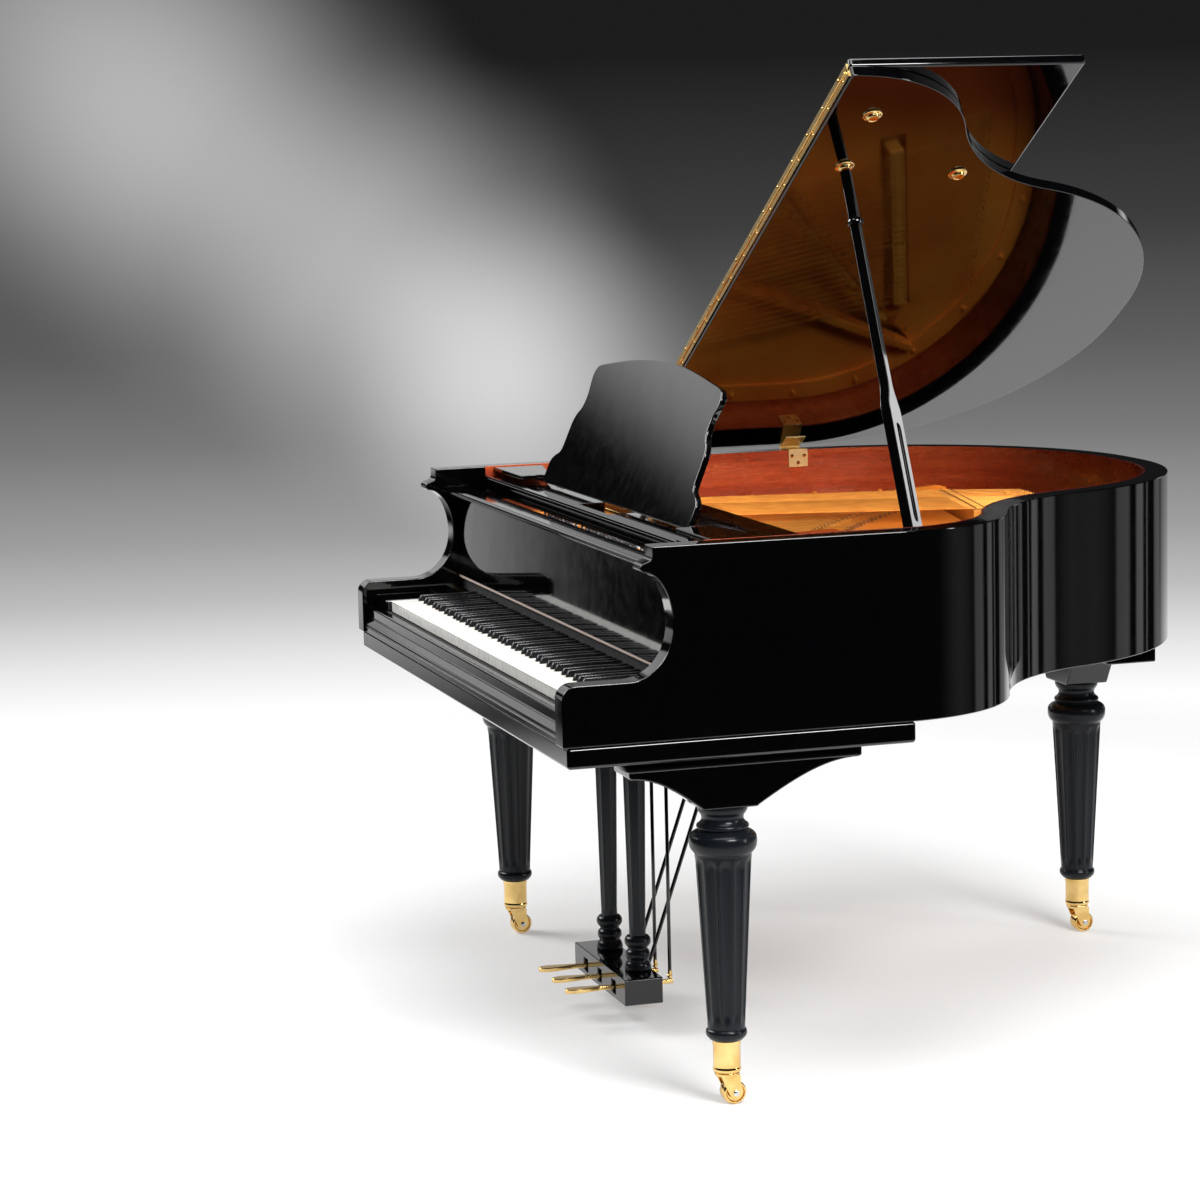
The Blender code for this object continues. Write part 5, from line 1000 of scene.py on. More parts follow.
def white_outline(index, front, back, inset=0.0):
    """A white key from above, with the corners that the black keys beside it take."""
    middle = KEYS[index][1]
    half = (KEY_PITCH - KEY_GAP) / 2 - inset
    room = SHARP_WIDTH / 2 + KEY_GAP + inset
    shoulder = KEY_HEAD_END - inset
    left = [(middle - half, back), (middle - half, front)]
    right = [(middle + half, front), (middle + half, back)]
    if index and not KEYS[index - 1][0]:
        cut = KEYS[index - 1][1] + room
        left = [(cut, back), (cut, shoulder), (middle - half, shoulder), (middle - half, front)]
    if index + 1 < NOTES and not KEYS[index + 1][0]:
        cut = KEYS[index + 1][1] - room
        right = [(middle + half, front), (middle + half, shoulder), (cut, shoulder), (cut, back)]
    return left + right


octaves = [range(0 if k == 0 else 3 + 12 * k, NOTES if k == 6 else 15 + 12 * k) for k in range(7)]
for number, members in enumerate(octaves, 1):
    whites = [i for i in members if KEYS[i][0]]
    plates = [slab(white_outline(i, KEY_FRONT, KEY_JOIN), KEY_TOP - KEY_PLATE, KEY_TOP) for i in whites]
    levers = [slab(white_outline(i, KEY_FRONT + 0.0013, KEY_JOIN, 0.0003), KEY_BOTTOM,
                   KEY_TOP - KEY_PLATE) for i in whites]
    tops = piece(f"white_keys_{number}", *together(*plates, *levers), f"octave_{number}", KEYTOP,
                 [f"keys_octave_{number}"])
    soften(tops, 0.0007, 2)


# Black keys and key tails
# Black phenolic sharps, narrower at the top and sloped at the front, glued to their own levers.
# Behind both, the levers are plain maple with a gap between neighbours.

SHARP = Finish("black_keytop", (0.009, 0.009, 0.010), 0.22, coat=0.25, coat_roughness=0.10)
rubbed = SHARP.noise(SHARP.place((90.0, 14.0, 60.0)), 1.0, 3.0)
SHARP.feed(Roughness=rubbed * 0.20 + 0.12,
           Base_Color=SHARP.mix(rubbed, (0.006, 0.006, 0.007, 1.0), (0.016, 0.016, 0.018, 1.0)))


def sharp_key():
    """A loft along Y about x = 0: an arch at each station, whose top eases up along the sloped
    front (a sine) and whose sides lean in, with rounded shoulders."""
    start, slope = KEY_HEAD_END + KEY_GAP + 0.0005, 0.0075
    run = np.concatenate([slope * (1 - np.cos(np.linspace(0.0, pi / 2, 7))),
                          np.linspace(slope, SHARP_END - start - 0.0012, 5)[1:],
                          [SHARP_END - start - 0.0003, SHARP_END - start]])
    share = np.clip(run / slope, 0.0, 1.0)
    top = KEY_TOP - 0.0004 + (SHARP_TOP - KEY_TOP + 0.0004) * np.sin(share * pi / 2) ** 0.8
    top[-2:] -= (0.0003, 0.0012)
    half = SHARP_WIDTH / 2 - 0.0004 - 0.0004 * (1 - share)
    around = np.linspace(0.0, pi / 2, 5)
    low = np.full_like(run, KEY_TOP - 0.004)
    corner = np.minimum(0.0014, (top - low) * 0.4)
    lean = half - 0.0007 * (top - low) / (SHARP_TOP - KEY_TOP + 0.004)
    right = [np.column_stack([half, start + run, low])]
    for turn in around:
        right.append(np.column_stack([lean - corner * (1 - np.cos(turn)), start + run,
                                      top - corner * (1 - np.sin(turn))]))
    rows = right + [row * (-1.0, 1.0, 1.0) for row in right[::-1]]
    grid = np.stack(rows, 1)
    stations, count = grid.shape[:2]
    numbers = np.arange(stations * count).reshape(stations, count)
    faces = [face for a, b in zip(numbers, numbers[1:]) for face in strip(a, b, closed=True)]
    return grid.reshape(-1, 3), faces + [numbers[0].tolist(), numbers[-1].tolist()[::-1]]


sharp_points, sharp_faces = sharp_key()
for number, members in enumerate(octaves, 1):
    blacks = [KEYS[i][1] for i in members if not KEYS[i][0]]
    half = SHARP_WIDTH / 2
    sharps = [(sharp_points + (x, 0.0, 0.0), sharp_faces) for x in blacks]
    made = piece(f"black_keys_{number}", *together(*sharps), f"octave_{number}", SHARP)
    stems = [slab([(x - half, KEY_HEAD_END + KEY_GAP), (x + half, KEY_HEAD_END + KEY_GAP),
                   (x + half, KEY_TAIL_END), (x - half, KEY_TAIL_END)], KEY_BOTTOM, KEY_TOP - 0.0012)
             for x in blacks]
    tails = [slab(white_outline(i, KEY_JOIN + 0.0002, KEY_TAIL_END, 0.0003), KEY_BOTTOM,
                  KEY_TOP - 0.0004) for i in members if KEYS[i][0]]
    wood = piece(f"key_levers_{number}", *together(*stems, *tails), f"octave_{number}", MAPLE)


# Fallboard
# A lacquered board with a rounded nose along its top, that swings down over the keys on a steel
# pin at each end. Its face is left bare. A black felted rail below it hides the key tails, and a
# thin line of pale felt is glued along its foot.

FALL_HINGE_Y, FALL_HINGE_Z, FALL_BARREL, FALL_BOARD = 0.205, 0.768, 0.0055, 0.016
FALL_TOP, FALL_LIP_Y = 0.953, 0.175


fall_back = FALL_HINGE_Y - 0.001 + FALL_BOARD
fall_profile = np.concatenate([
    arc((FALL_HINGE_Y, FALL_HINGE_Z), (FALL_BARREL, FALL_BARREL), 180, 360, 15),
    [(fall_back, FALL_HINGE_Z + 0.012)],
    arc((fall_back - 0.004, FALL_TOP - 0.004), (0.004, 0.004), 0, 90, 6),
    arc((FALL_LIP_Y + 0.007, FALL_TOP - 0.007), (0.007, 0.007), 90, 270, 15),
    arc((0.188, FALL_TOP - 0.022), (0.016, 0.008), 90, 0, 8)])
fallboard = piece("fallboard_piece", *mould(fall_profile, -INNER_HALF + 0.0015, INNER_HALF - 0.0015),
                  "fall", EBONY, ["fallboard"])
soften(fallboard, 0.0012, 2, radians(50.0))

BAIZE = Finish("black_felt", (0.006, 0.006, 0.007), 0.95)
tuft = BAIZE.noise(BAIZE.place(), 700.0, 4.0, 0.7)
BAIZE.feed(Base_Color=BAIZE.mix(tuft, (0.003, 0.003, 0.004, 1.0), (0.010, 0.010, 0.011, 1.0)))
BAIZE.bump(tuft, 0.5, 0.0006)
front_felt = piece("front_rail_felt", *mould([(0.0203, 0.7000), (0.0285, 0.7000), (0.0285, 0.7128),
                                               (0.0203, 0.7128)], -0.6120, 0.6120), "case", BAIZE)
rail = piece("name_rail", *mould([(0.2052, 0.7400), (0.2080, 0.7390), (0.2080, 0.7612), (0.2052, 0.7612)],
                                 -INNER_HALF + 0.0015, INNER_HALF - 0.0015), "case", BAIZE)
PALE_FELT = Finish("pale_felt", (0.42, 0.34, 0.30), 0.95)
fluff = PALE_FELT.noise(PALE_FELT.place(), 800.0, 4.0, 0.7)
PALE_FELT.feed(Base_Color=PALE_FELT.mix(fluff, (0.30, 0.23, 0.20, 1.0), (0.52, 0.43, 0.38, 1.0)))
PALE_FELT.bump(fluff, 0.5, 0.0006)
foot_felt = piece("fallboard_felt", *mould(
    [(FALL_HINGE_Y - FALL_BARREL - 0.0012, FALL_HINGE_Z - 0.0030),
     (FALL_HINGE_Y - FALL_BARREL + 0.0006, FALL_HINGE_Z - 0.0030),
     (FALL_HINGE_Y - FALL_BARREL + 0.0002, FALL_HINGE_Z + 0.0008),
     (FALL_HINGE_Y - FALL_BARREL - 0.0012, FALL_HINGE_Z + 0.0008)],
    -INNER_HALF + 0.0040, INNER_HALF - 0.0040), "fall", PALE_FELT)
pin = lathe([(0.0, -0.020), (0.0034, -0.020), (0.0034, 0.0), (0.0, 0.0)], 20, "X")
reach = INNER_HALF - FIT
fall_pins = piece("fallboard_pins", *together((pin[0] + (reach, FALL_HINGE_Y, FALL_HINGE_Z), pin[1]),
                                              (pin[0] * (-1.0, 1.0, 1.0) + (-reach, FALL_HINGE_Y,
                                                                            FALL_HINGE_Z), pin[1])),
                  "fall", STEEL)


# Desk frame and music desk
# A lacquered frame that slides on two guides, and a shaped panel that leans back on two brass
# hinges, held by a small strut behind. The panel's edge is rounded and polished. A narrow shelf
# is fixed to the rim at each side of the panel, level with the rim's top.

DESK_HINGE_Y, DESK_HINGE_Z, DESK_LEAN, DESK_PANEL = 0.330, 0.986, radians(22.8), 0.012

refined("desk_frame", "desk", EBONY, 0.0014, 3)
refined("desk_strut", "rest_strut", EBONY, 0.0010, 2)
side_shelf = slab([(0.500, 0.280), (INNER_HALF - 0.0008, 0.280), (INNER_HALF - 0.0008, 0.385),
                   (0.500, 0.345)], 0.9815, 0.9895)
shelves = piece("side_shelves", *together(side_shelf, (side_shelf[0] * (-1.0, 1.0, 1.0), side_shelf[1])),
                "case", EBONY)
soften(shelves, 0.0015, 3)


def spun(line, steps=5):
    """A smooth line through points: the Catmull-Rom cubic between each pair of neighbours."""
    line = np.asarray(line, float)
    before = np.concatenate([line[:1], line[:-2]])
    after = np.concatenate([line[2:], line[-1:]])
    start, end = line[:-1], line[1:]
    share = (np.arange(steps) / steps)[None, :, None]
    one, two = (end - before)[:, None] / 2, (after - start)[:, None] / 2
    start, end = start[:, None], end[:, None]
    curve = (start + one * share + (3 * (end - start) - 2 * one - two) * share ** 2
             + (2 * (start - end) + one + two) * share ** 3)
    return np.concatenate([curve.reshape(-1, line.shape[1]), line[-1:]])


def upright(outline, front, back):
    """A closed (x, z) outline given thickness along Y."""
    points, faces = slab(outline, front, back)
    return points[:, (0, 2, 1)], faces


panel_side = [(0.455, -0.012), (0.460, 0.006), (0.458, 0.034), (0.440, 0.048), (0.420, 0.056),
              (0.412, 0.068), (0.410, 0.100), (0.408, 0.122), (0.398, 0.140), (0.383, 0.152),
              (0.376, 0.168), (0.376, 0.186), (0.382, 0.204), (0.386, 0.222), (0.380, 0.236),
              (0.362, 0.246)]
panel_crown = [(0.362 * (1 - i / 6), 0.246 + 0.031 * sin(pi / 2 * i / 6)) for i in range(1, 6)]
half_panel = spun(panel_side + panel_crown + [(0.0, 0.277)], 4)
panel_line = np.concatenate([half_panel, half_panel[-2::-1] * (-1.0, 1.0)])
tilt = np.array(Matrix.Translation((0.0, DESK_HINGE_Y, DESK_HINGE_Z)) @ Matrix.Rotation(-DESK_LEAN, 4, "X"))
panel = piece("desk_panel", *upright(panel_line, -DESK_PANEL, 0.0), "music_rest", EBONY,
              ["music_desk"], at=tilt)
soften(panel, 0.0024, 3, radians(45.0))
knuckle = lathe([(0.0, -0.0245), (0.0032, -0.0245), (0.0036, -0.0240), (0.0036, 0.0240),
                 (0.0032, 0.0245), (0.0, 0.0245)], 16, "X")
leaf = mould([(-0.0036, -0.0128), (-0.0016, -0.0128), (-0.0016, 0.0), (-0.0036, 0.0)], -0.024, 0.024)
desk_hinges = together(*[(shape[0] + (x, 0.0, 0.0), shape[1]) for x in (-0.36, 0.36)
                         for shape in (knuckle, leaf)])
made = piece("desk_hinges", *desk_hinges, "music_rest", BRASS, at=tilt)


# Lid and flap
# A thick lacquered panel that follows the case, hinged along the bass side and held up by the
# prop, with its front flap folded back on top. Its edges are rounded and polished.

LID_ANGLE, LID_PIVOT_OUT, LID_GAP, LID, FLAP = radians(30.67), 0.0035, 0.0035, 0.0200, 0.0195
LID_FRONT, LID_OVERHANG, FLAP_HINGE_Y, FLAP_DEPTH = 0.606, 0.004, 0.603, 0.449
LID_PIVOT = Vector((-CASE_WIDTH / 2 - LID_PIVOT_OUT, 0.0, RIM_TOP + LID_GAP))
LID_TURN = Matrix.Rotation(-LID_ANGLE, 4, "Y")
ON_LID = np.array(Matrix.Translation(LID_PIVOT) @ LID_TURN)

lid_line = case_line(-LID_OVERHANG, LID_FRONT) - (LID_PIVOT.x, 0.0)
lid_line[:, 0] = np.maximum(lid_line[:, 0], LID_PIVOT_OUT)
lid_far = LID_PIVOT_OUT + CASE_WIDTH
lid = piece("lid_piece", *slab(lid_line, FIT, LID), "lid", EBONY, ["main_lid"], at=ON_LID)
soften(lid, 0.0056, 5, radians(50.0))

flap_line = [(LID_PIVOT_OUT, LID_FRONT), (lid_far, LID_FRONT), (lid_far, FLAP_HINGE_Y + 0.003 + FLAP_DEPTH),
             (LID_PIVOT_OUT, FLAP_HINGE_Y + 0.003 + FLAP_DEPTH)]
flap_bottom = LID + 2 * FIT
flap = piece("flap_piece", *slab(flap_line, flap_bottom, flap_bottom + FLAP), "flap", EBONY,
             ["front_flap"], at=ON_LID)
soften(flap, 0.0056, 5)


# Lid brass
# A continuous brass hinge joins the flap to the lid, cups under the lid catch the prop's tip, and
# the leaves of two butt hinges are screwed to its underside.

HINGE_STEP, PIANO_HINGE = 0.0254, 0.0023
slotted = lathe([(0.0, -0.0012), (0.0036, -0.0010), (0.0042, 0.0), (0.0, 0.0006)], 12, "Z")


def screws(places, axis=None):
    """Small countersunk screw heads, set at places and facing down, or turned by a matrix."""
    points, faces = slotted
    if axis is not None:
        points = points @ np.array(axis.to_3x3()).T
    return repeated_mixed(points, faces, places)


def repeated_mixed(points, faces, places):
    """Copies of a shape with faces of any size, each moved to a place."""
    return together(*[(points + place, faces) for place in np.asarray(places, float)])


knuckle_places = np.arange(0.0115, lid_far - 0.034, HINGE_STEP)
barrel = lathe([(0.0, 0.0), (PIANO_HINGE, 0.0002), (PIANO_HINGE, HINGE_STEP - 0.0008),
                (0.0, HINGE_STEP - 0.0006)], 12, "X")
barrels = repeated_mixed(*barrel, [(x, FLAP_HINGE_Y, LID + FIT) for x in knuckle_places])
lid_leaf = mould([(LID_FRONT - 0.0024, 0.0082), (LID_FRONT + 0.0002, 0.0082),
                  (LID_FRONT + 0.0002, 0.0190), (LID_FRONT - 0.0024, 0.0190)], 0.010, lid_far - 0.010)
facing_front = Matrix.Rotation(-pi / 2, 4, "X")
leaf_screws = screws([(x, LID_FRONT - 0.0024, 0.0125) for x in np.linspace(0.040, lid_far - 0.040, 17)],
                     facing_front)
made = piece("piano_hinge", *together(barrels, lid_leaf, leaf_screws), "lid", BRASS, at=ON_LID)
flap_leaf = mould([(LID_FRONT - 0.0024, flap_bottom + 0.0008), (LID_FRONT + 0.0002, flap_bottom + 0.0008),
                   (LID_FRONT + 0.0002, flap_bottom + 0.0120), (LID_FRONT - 0.0024, flap_bottom + 0.0120)],
                  0.010, lid_far - 0.010)
flap_screws = screws([(x, LID_FRONT - 0.0024, flap_bottom + 0.0075)
                      for x in np.linspace(0.060, lid_far - 0.060, 16)], facing_front)
made = piece("flap_hinge_leaf", *together(flap_leaf, flap_screws), "flap", BRASS, at=ON_LID)

PROP_CUPS = ((1.197, 0.691), (1.374, 0.686), (1.159, 0.927))
cup = lathe([(0.0, 0.0015), (0.0180, 0.0015), (0.0180, -0.0018), (0.0172, -0.0026), (0.0150, -0.0030),
             (0.0128, -0.0040), (0.0118, -0.0060), (0.0112, -0.0080), (0.0102, -0.0089),
             (0.0090, -0.0089), (0.0082, -0.0082), (0.0060, -0.0078), (0.0, -0.0077)], 32)
cup_screws = [(x + 0.0152 * cos(a), y + 0.0152 * sin(a), -0.0028)
              for x, y in PROP_CUPS for a in (0.4, 0.4 + 2 * pi / 3, 0.4 + 4 * pi / 3)]
cups = piece("prop_cups", *together(*[(cup[0] + (x, y, 0.0), cup[1]) for x, y in PROP_CUPS],
                                    repeated_mixed(slotted[0] * (0.6, 0.6, 0.6), slotted[1], cup_screws)),
             "lid", BRASS, at=ON_LID)

LID_HINGES, HINGE_HALF, LEAF = (0.680, 0.955), 0.0225, 0.0015
leaves = []
for y in LID_HINGES:
    leaves.append(slab([(0.006, y - HINGE_HALF), (0.046, y - HINGE_HALF), (0.046, y + HINGE_HALF),
                        (0.006, y + HINGE_HALF)], -LEAF, 0.0010))
    leaves.append(screws([(0.020, y - 0.014, -LEAF), (0.038, y, -LEAF), (0.020, y + 0.014, -LEAF)]))
SATIN_BRASS = Finish("satin_brass", (0.90, 0.68, 0.32), 0.42, metallic=1.0)
brushed = SATIN_BRASS.noise(SATIN_BRASS.place((30.0, 500.0, 500.0)), 1.0, 3.0)
SATIN_BRASS.feed(Roughness=brushed * 0.16 + 0.36,
                 Base_Color=SATIN_BRASS.ramp(brushed, (0.3, (0.86, 0.62, 0.27)), (0.7, (0.96, 0.76, 0.40))))
made = piece("lid_hinge_leaves", *together(*leaves), "lid", SATIN_BRASS, at=ON_LID)

facing_bass = Matrix.Rotation(-pi / 2, 4, "Y")
inside = -INNER_HALF + LINING + FIT * 3 + LEAF
for name, y in zip(("front", "rear"), LID_HINGES):
    refined(f"lid_hinge_{name}", "case", SATIN_BRASS, 0.0005, 2)
    heads = [(inside, y + step, RIM_TOP - drop) for step, drop in ((-0.014, 0.012), (0.0, 0.027),
                                                                    (0.014, 0.012))]
    made = piece(f"hinge_screws_{name}", *screws(heads, facing_bass), "case", BRASS)


# Long prop, short prop and bracket
# A lacquered stick, wide at its foot where the short prop folds into a slot, and slim above, with
# a collar near its tip. It turns on a brass pin that is screwed to the rim.

PROP_BASE = Vector((CASE_WIDTH / 2 - 0.082, SIDE_STRAIGHT + 0.054, 0.960))
PROP_FOLD = Vector((-0.780, 0.620, -0.010))
PROP_WIDE, PROP_SLIM, PROP_THICK, PROP_SHOULDER = 0.026, 0.009, 0.018, 0.250
PROP_SLOT, SLOT_LOW, SLOT_HIGH = 0.009, 0.038, 0.228

cup_tip = LID_PIVOT + LID_TURN.to_3x3() @ Vector((*PROP_CUPS[0], -0.009 - 2 * FIT))
prop_up = (cup_tip - PROP_BASE).normalized()
prop_length = (cup_tip - PROP_BASE).length
prop_axis = prop_up.cross(PROP_FOLD.normalized()).normalized()
basis = Matrix((prop_axis, prop_up.cross(prop_axis), prop_up)).transposed().to_4x4()
ON_PROP = np.array(Matrix.Translation(PROP_BASE) @ basis)


def slotted_plank(outside, hole, half_thick):
    """A plank from the right half of its outline and of its slot, each from the bottom up: both
    halves are walled and faced, and they meet on the middle line."""
    loop = np.concatenate([outside, outside[::-1] * (-1.0, 1.0)])
    ring = np.concatenate([hole, hole[::-1] * (-1.0, 1.0)])
    points, faces = [], []
    for x in (-half_thick, half_thick):
        points += [np.column_stack([np.full(len(line), x), line]) for line in (loop, ring)]
    outer, inner = len(outside), len(hole)
    second = 2 * outer + 2 * inner
    for start in (0, second):
        rim_start = start + 2 * outer
        right = [*range(start, start + outer), *range(rim_start, rim_start + inner)[::-1]]
        left = [*range(start + outer, start + 2 * outer),
                *range(rim_start + inner, rim_start + 2 * inner)[::-1]]
        faces += [right, left]
        faces.append([start, rim_start, rim_start + 2 * inner - 1, start + 2 * outer - 1])
        faces.append([start + outer - 1, start + outer, rim_start + inner, rim_start + inner - 1])
    outer_row = np.arange(2 * outer)
    inner_row = np.arange(2 * inner) + 2 * outer
    faces += strip(outer_row, outer_row + second, closed=True)
    faces += strip(inner_row, inner_row + second, closed=True)
    return np.concatenate(points), faces


rise = np.linspace(0.0, 1.0, 19)
ogee = np.column_stack([PROP_WIDE - (PROP_WIDE - PROP_SLIM) * (1 - np.cos(pi * rise)) / 2,
                        PROP_SHOULDER + 0.060 * rise])
foot = arc((0.0, 0.006), (PROP_WIDE, 0.020), -75, 0, 10)
prop_side = np.concatenate([foot, ogee, [(PROP_SLIM * 0.64, prop_length - 0.0030),
                                         (PROP_SLIM * 0.52, prop_length)]])
slot_side = np.concatenate([arc((0.0, SLOT_LOW + 0.008), (PROP_SLOT, 0.008), -80, 0, 6),
                            arc((0.0, SLOT_HIGH - 0.008), (PROP_SLOT, 0.008), 0, 80, 6)])
prop = piece("prop_stick", *slotted_plank(prop_side, slot_side, PROP_THICK / 2), "prop", EBONY,
             ["long_prop"], at=ON_PROP)
soften(prop, 0.0022, 3, radians(50.0))
SHORT_FOOT, SHORT_PROP = 0.052, 0.170
turned = np.linspace(0.0, 2 * pi, 20, endpoint=False)
section = np.column_stack([0.0088 * np.sign(np.cos(turned)) * np.abs(np.cos(turned)) ** 0.9,
                           0.0069 * np.sign(np.sin(turned)) * np.abs(np.sin(turned)) ** 0.7])
stations = [(-0.008, 0.80), (-0.0065, 0.96), (-0.004, 1.0), (SHORT_PROP - 0.004, 1.0),
            (SHORT_PROP - 0.0015, 0.94), (SHORT_PROP, 0.78)]
grid = np.stack([np.column_stack([section * share, np.full(len(section), SHORT_FOOT + height)])
                 for height, share in stations])
numbers = np.arange(grid.shape[0] * grid.shape[1]).reshape(grid.shape[:2])
walls = [face for a, b in zip(numbers, numbers[1:]) for face in strip(a, b, closed=True)]
stick = piece("short_prop_stick", grid, walls + [numbers[0].tolist()[::-1], numbers[-1].tolist()],
                   "small_prop", EBONY, ["short_prop"], at=ON_PROP)
collar = lathe([(0.0105, 0.0), (0.0130, 0.0), (0.0146, 0.0022), (0.0150, 0.0055), (0.0146, 0.0090),
                (0.0130, 0.0118), (0.0105, 0.0120)], 28)
made = piece("prop_collar", collar[0] + (0.0, 0.0, prop_length - 0.115), collar[1], "prop", EBONY,
             at=ON_PROP)
refined("prop_bracket", "case", BRASS, 0.0004, 2)


# Leg brackets
# Lacquered brackets glued and screwed under the keybed and the rim: each leg screws up into its
# own. Their arms are hollowed below, a thin moulded plate lies over the front pairs' arms, and a
# short block is glued beside the rear one where the rim turns.

KEYBED_BOTTOM, LEG_TOP, BRACKET_HALF = 0.623, 0.530, 0.052
FRONT_LEG_X, FRONT_LEG_Y, TAIL_LEG = CASE_WIDTH / 2 - 0.072, 0.295, (-0.238, SIDE_STRAIGHT + 0.780)
LEGS = {"bass": (-FRONT_LEG_X, FRONT_LEG_Y), "treble": (FRONT_LEG_X, FRONT_LEG_Y), "tail": TAIL_LEG}


def bracket_arm(x, y, turn, top, reach, tip, half):
    """An arm's side view: a flat foot, then a hollow that rises as a sine to the tip, given
    thickness and turned about the leg's middle."""
    share = np.linspace(0.0, pi / 2, 18)
    foot = min(BRACKET_HALF, reach - 0.04)
    curve = np.column_stack([foot + (reach - foot) * share / (pi / 2),
                             LEG_TOP + 0.003 + (top - tip - LEG_TOP - 0.003) * np.sin(share)])
    profile = np.concatenate([[(-half, LEG_TOP), (foot - 0.002, LEG_TOP)], curve,
                              [(reach + 0.004, top - tip + 0.003), (reach + 0.004, top), (-half, top)]])
    points, faces = upright(profile, -half, half)
    spin = np.array(Matrix.Rotation(turn, 3, "Z"))
    return points @ spin.T + (x, y, 0.0), faces


BACK, FRONT, RIGHT, LEFT = pi / 2, -pi / 2, 0.0, pi
for name, arms, top in (
        ("bass", ((BACK, 0.235, 0.020), (FRONT, 0.176, 0.030), (RIGHT, 0.235, 0.020)), KEYBED_BOTTOM),
        ("treble", ((BACK, 0.235, 0.020), (FRONT, 0.176, 0.030), (LEFT, 0.235, 0.020)), KEYBED_BOTTOM),
        ("tail", ((RIGHT, 0.150, 0.020), (LEFT, 0.150, 0.020)), RIM_BOTTOM - FIT)):
    x, y = LEGS[name]
    shapes = [bracket_arm(x, y, turn, top - FIT - 0.0003 * k, reach, tip, 0.0460 - 0.0002 * k)
              for k, (turn, reach, tip) in enumerate(arms, 1)]
    if name == "tail":
        plate = [(0.040, 1.262), (0.172, 1.262), (0.172, 1.366), (0.040, 1.366)]
        shapes.append(slab(plate, 0.6300, RIM_BOTTOM - FIT))
    else:
        plate = np.concatenate([arc((x, y + 0.236), (0.0495, 0.010), 0, 180, 9),
                                arc((x, y - 0.178), (0.0495, 0.010), 180, 360, 9)])
        shapes.append(slab(plate, top - 0.0190, top - FIT - 0.0015))
    bracket = piece(f"bracket_{name}", *together(*shapes), "case", EBONY, [f"leg_bracket_{name}"])
    soften(bracket, 0.0030, 3, radians(45.0))


# Legs
# Turned hardwood under a black lacquer that is less glossy than the case, with a faint blue tint
# that is a painted reflection: a neck, two collars, a shaft with twelve flutes that narrows to the
# ankle, and an ankle ring.

# Painted reflection: the base colours are tinted faintly blue for a bluish sheen.
SATIN_BLACK_PAINTED_SHEEN = Finish("satin_black_painted_sheen", (0.006, 0.0075, 0.0095), 0.24, coat=0.08, coat_roughness=0.05)
SATIN_BLACK_PAINTED_SHEEN.feed(Specular_IOR_Level=0.16)
dusting = SATIN_BLACK_PAINTED_SHEEN.noise(SATIN_BLACK_PAINTED_SHEEN.place(), 30.0, 4.0, 0.6)
SATIN_BLACK_PAINTED_SHEEN.feed(Roughness=dusting * 0.14 + 0.17,
           Base_Color=SATIN_BLACK_PAINTED_SHEEN.mix(dusting, (0.0040, 0.0052, 0.0070, 1.0), (0.0080, 0.0100, 0.0130, 1.0)))
SATIN_BLACK_PAINTED_SHEEN.bump(dusting, 0.02, 0.002)

SHAFT_TOP, SHAFT_BOTTOM, FLUTES, FLUTE_DEPTH = (0.445, 0.0495), (0.137, 0.0320), 12, 0.10
PHASE = np.array([0.0, 0.08, 0.13, 0.22, 0.35, 0.5, 0.65, 0.78, 0.87, 0.92])


def fluted(profile, flutes, depth, low, high, round_end):
    """A turned profile with flutes: r is the profile's radius times 1 minus the depth, scaled by a
    half circle across each flute, by an arch that ends it above and by a run-out below."""
    profile = np.asarray(profile, float)
    phase = np.tile(PHASE, flutes)
    angle = (np.repeat(np.arange(flutes), len(PHASE)) + phase) * 2 * pi / flutes
    arch = np.sqrt(np.clip(1 - ((phase - 0.5) / 0.42) ** 2, 0.0, 1.0))
    radius, height = profile[:, :1], profile[:, 1:]
    reach = round_end * (1 - arch)[None]
    inside = np.clip(np.minimum((high - reach - height) / 0.012, (height - low) / 0.030), 0.0, 1.0)
    sunk = radius * (1 - depth * arch[None] * inside ** 2 * (3 - 2 * inside))
    grid = np.stack([sunk * np.cos(angle), sunk * np.sin(angle), height + 0 * sunk], -1)
    rows, count = grid.shape[:2]
    numbers = np.arange(rows * count).reshape(rows, count)
    faces = [face for a, b in zip(numbers, numbers[1:]) for face in strip(a, b, closed=True)]
    faces += [numbers[0].tolist()[::-1], numbers[-1].tolist()]
    return grid.reshape(-1, 3), faces


def taper(low, high, ends, middle):
    """Rows of a straight taper, close together near both ends where the flutes round off."""
    (z0, r0), (z1, r1) = low, high
    heights = np.concatenate([np.linspace(z0, z0 + ends, 8), np.linspace(z0 + ends, z1 - ends, middle)[1:-1],
                              np.linspace(z1 - ends, z1, 16)])
    return np.column_stack([r0 + (r1 - r0) * (heights - z0) / (z1 - z0), heights])


ankle = spun([(0.0240, 0.1156), (0.0285, 0.1158), (0.0322, 0.1195), (0.0352, 0.1235), (0.0362, 0.1285),
              (0.0350, 0.1330), (0.0330, 0.1352)], 3)
shaft = taper((0.1372, SHAFT_BOTTOM[1] + 0.0008), (0.4440, SHAFT_TOP[1]), 0.028, 6)
neck = spun([(0.0498, 0.4462), (0.0530, 0.4490), (0.0575, 0.4560), (0.0592, 0.4660), (0.0580, 0.4755),
             (0.0535, 0.4815), (0.0480, 0.4846), (0.0428, 0.4868), (0.0440, 0.4890), (0.0456, 0.4925),
             (0.0444, 0.4962), (0.0405, 0.4990), (0.0370, 0.5040), (0.0366, 0.5090), (0.0380, 0.5135),
             (0.0412, 0.5180), (0.0434, 0.5225), (0.0440, 0.5260), (0.0440, 0.5296)], 3)
leg_shape = fluted(np.concatenate([ankle, shaft, neck]), FLUTES, FLUTE_DEPTH, 0.1390, 0.4400, 0.014)
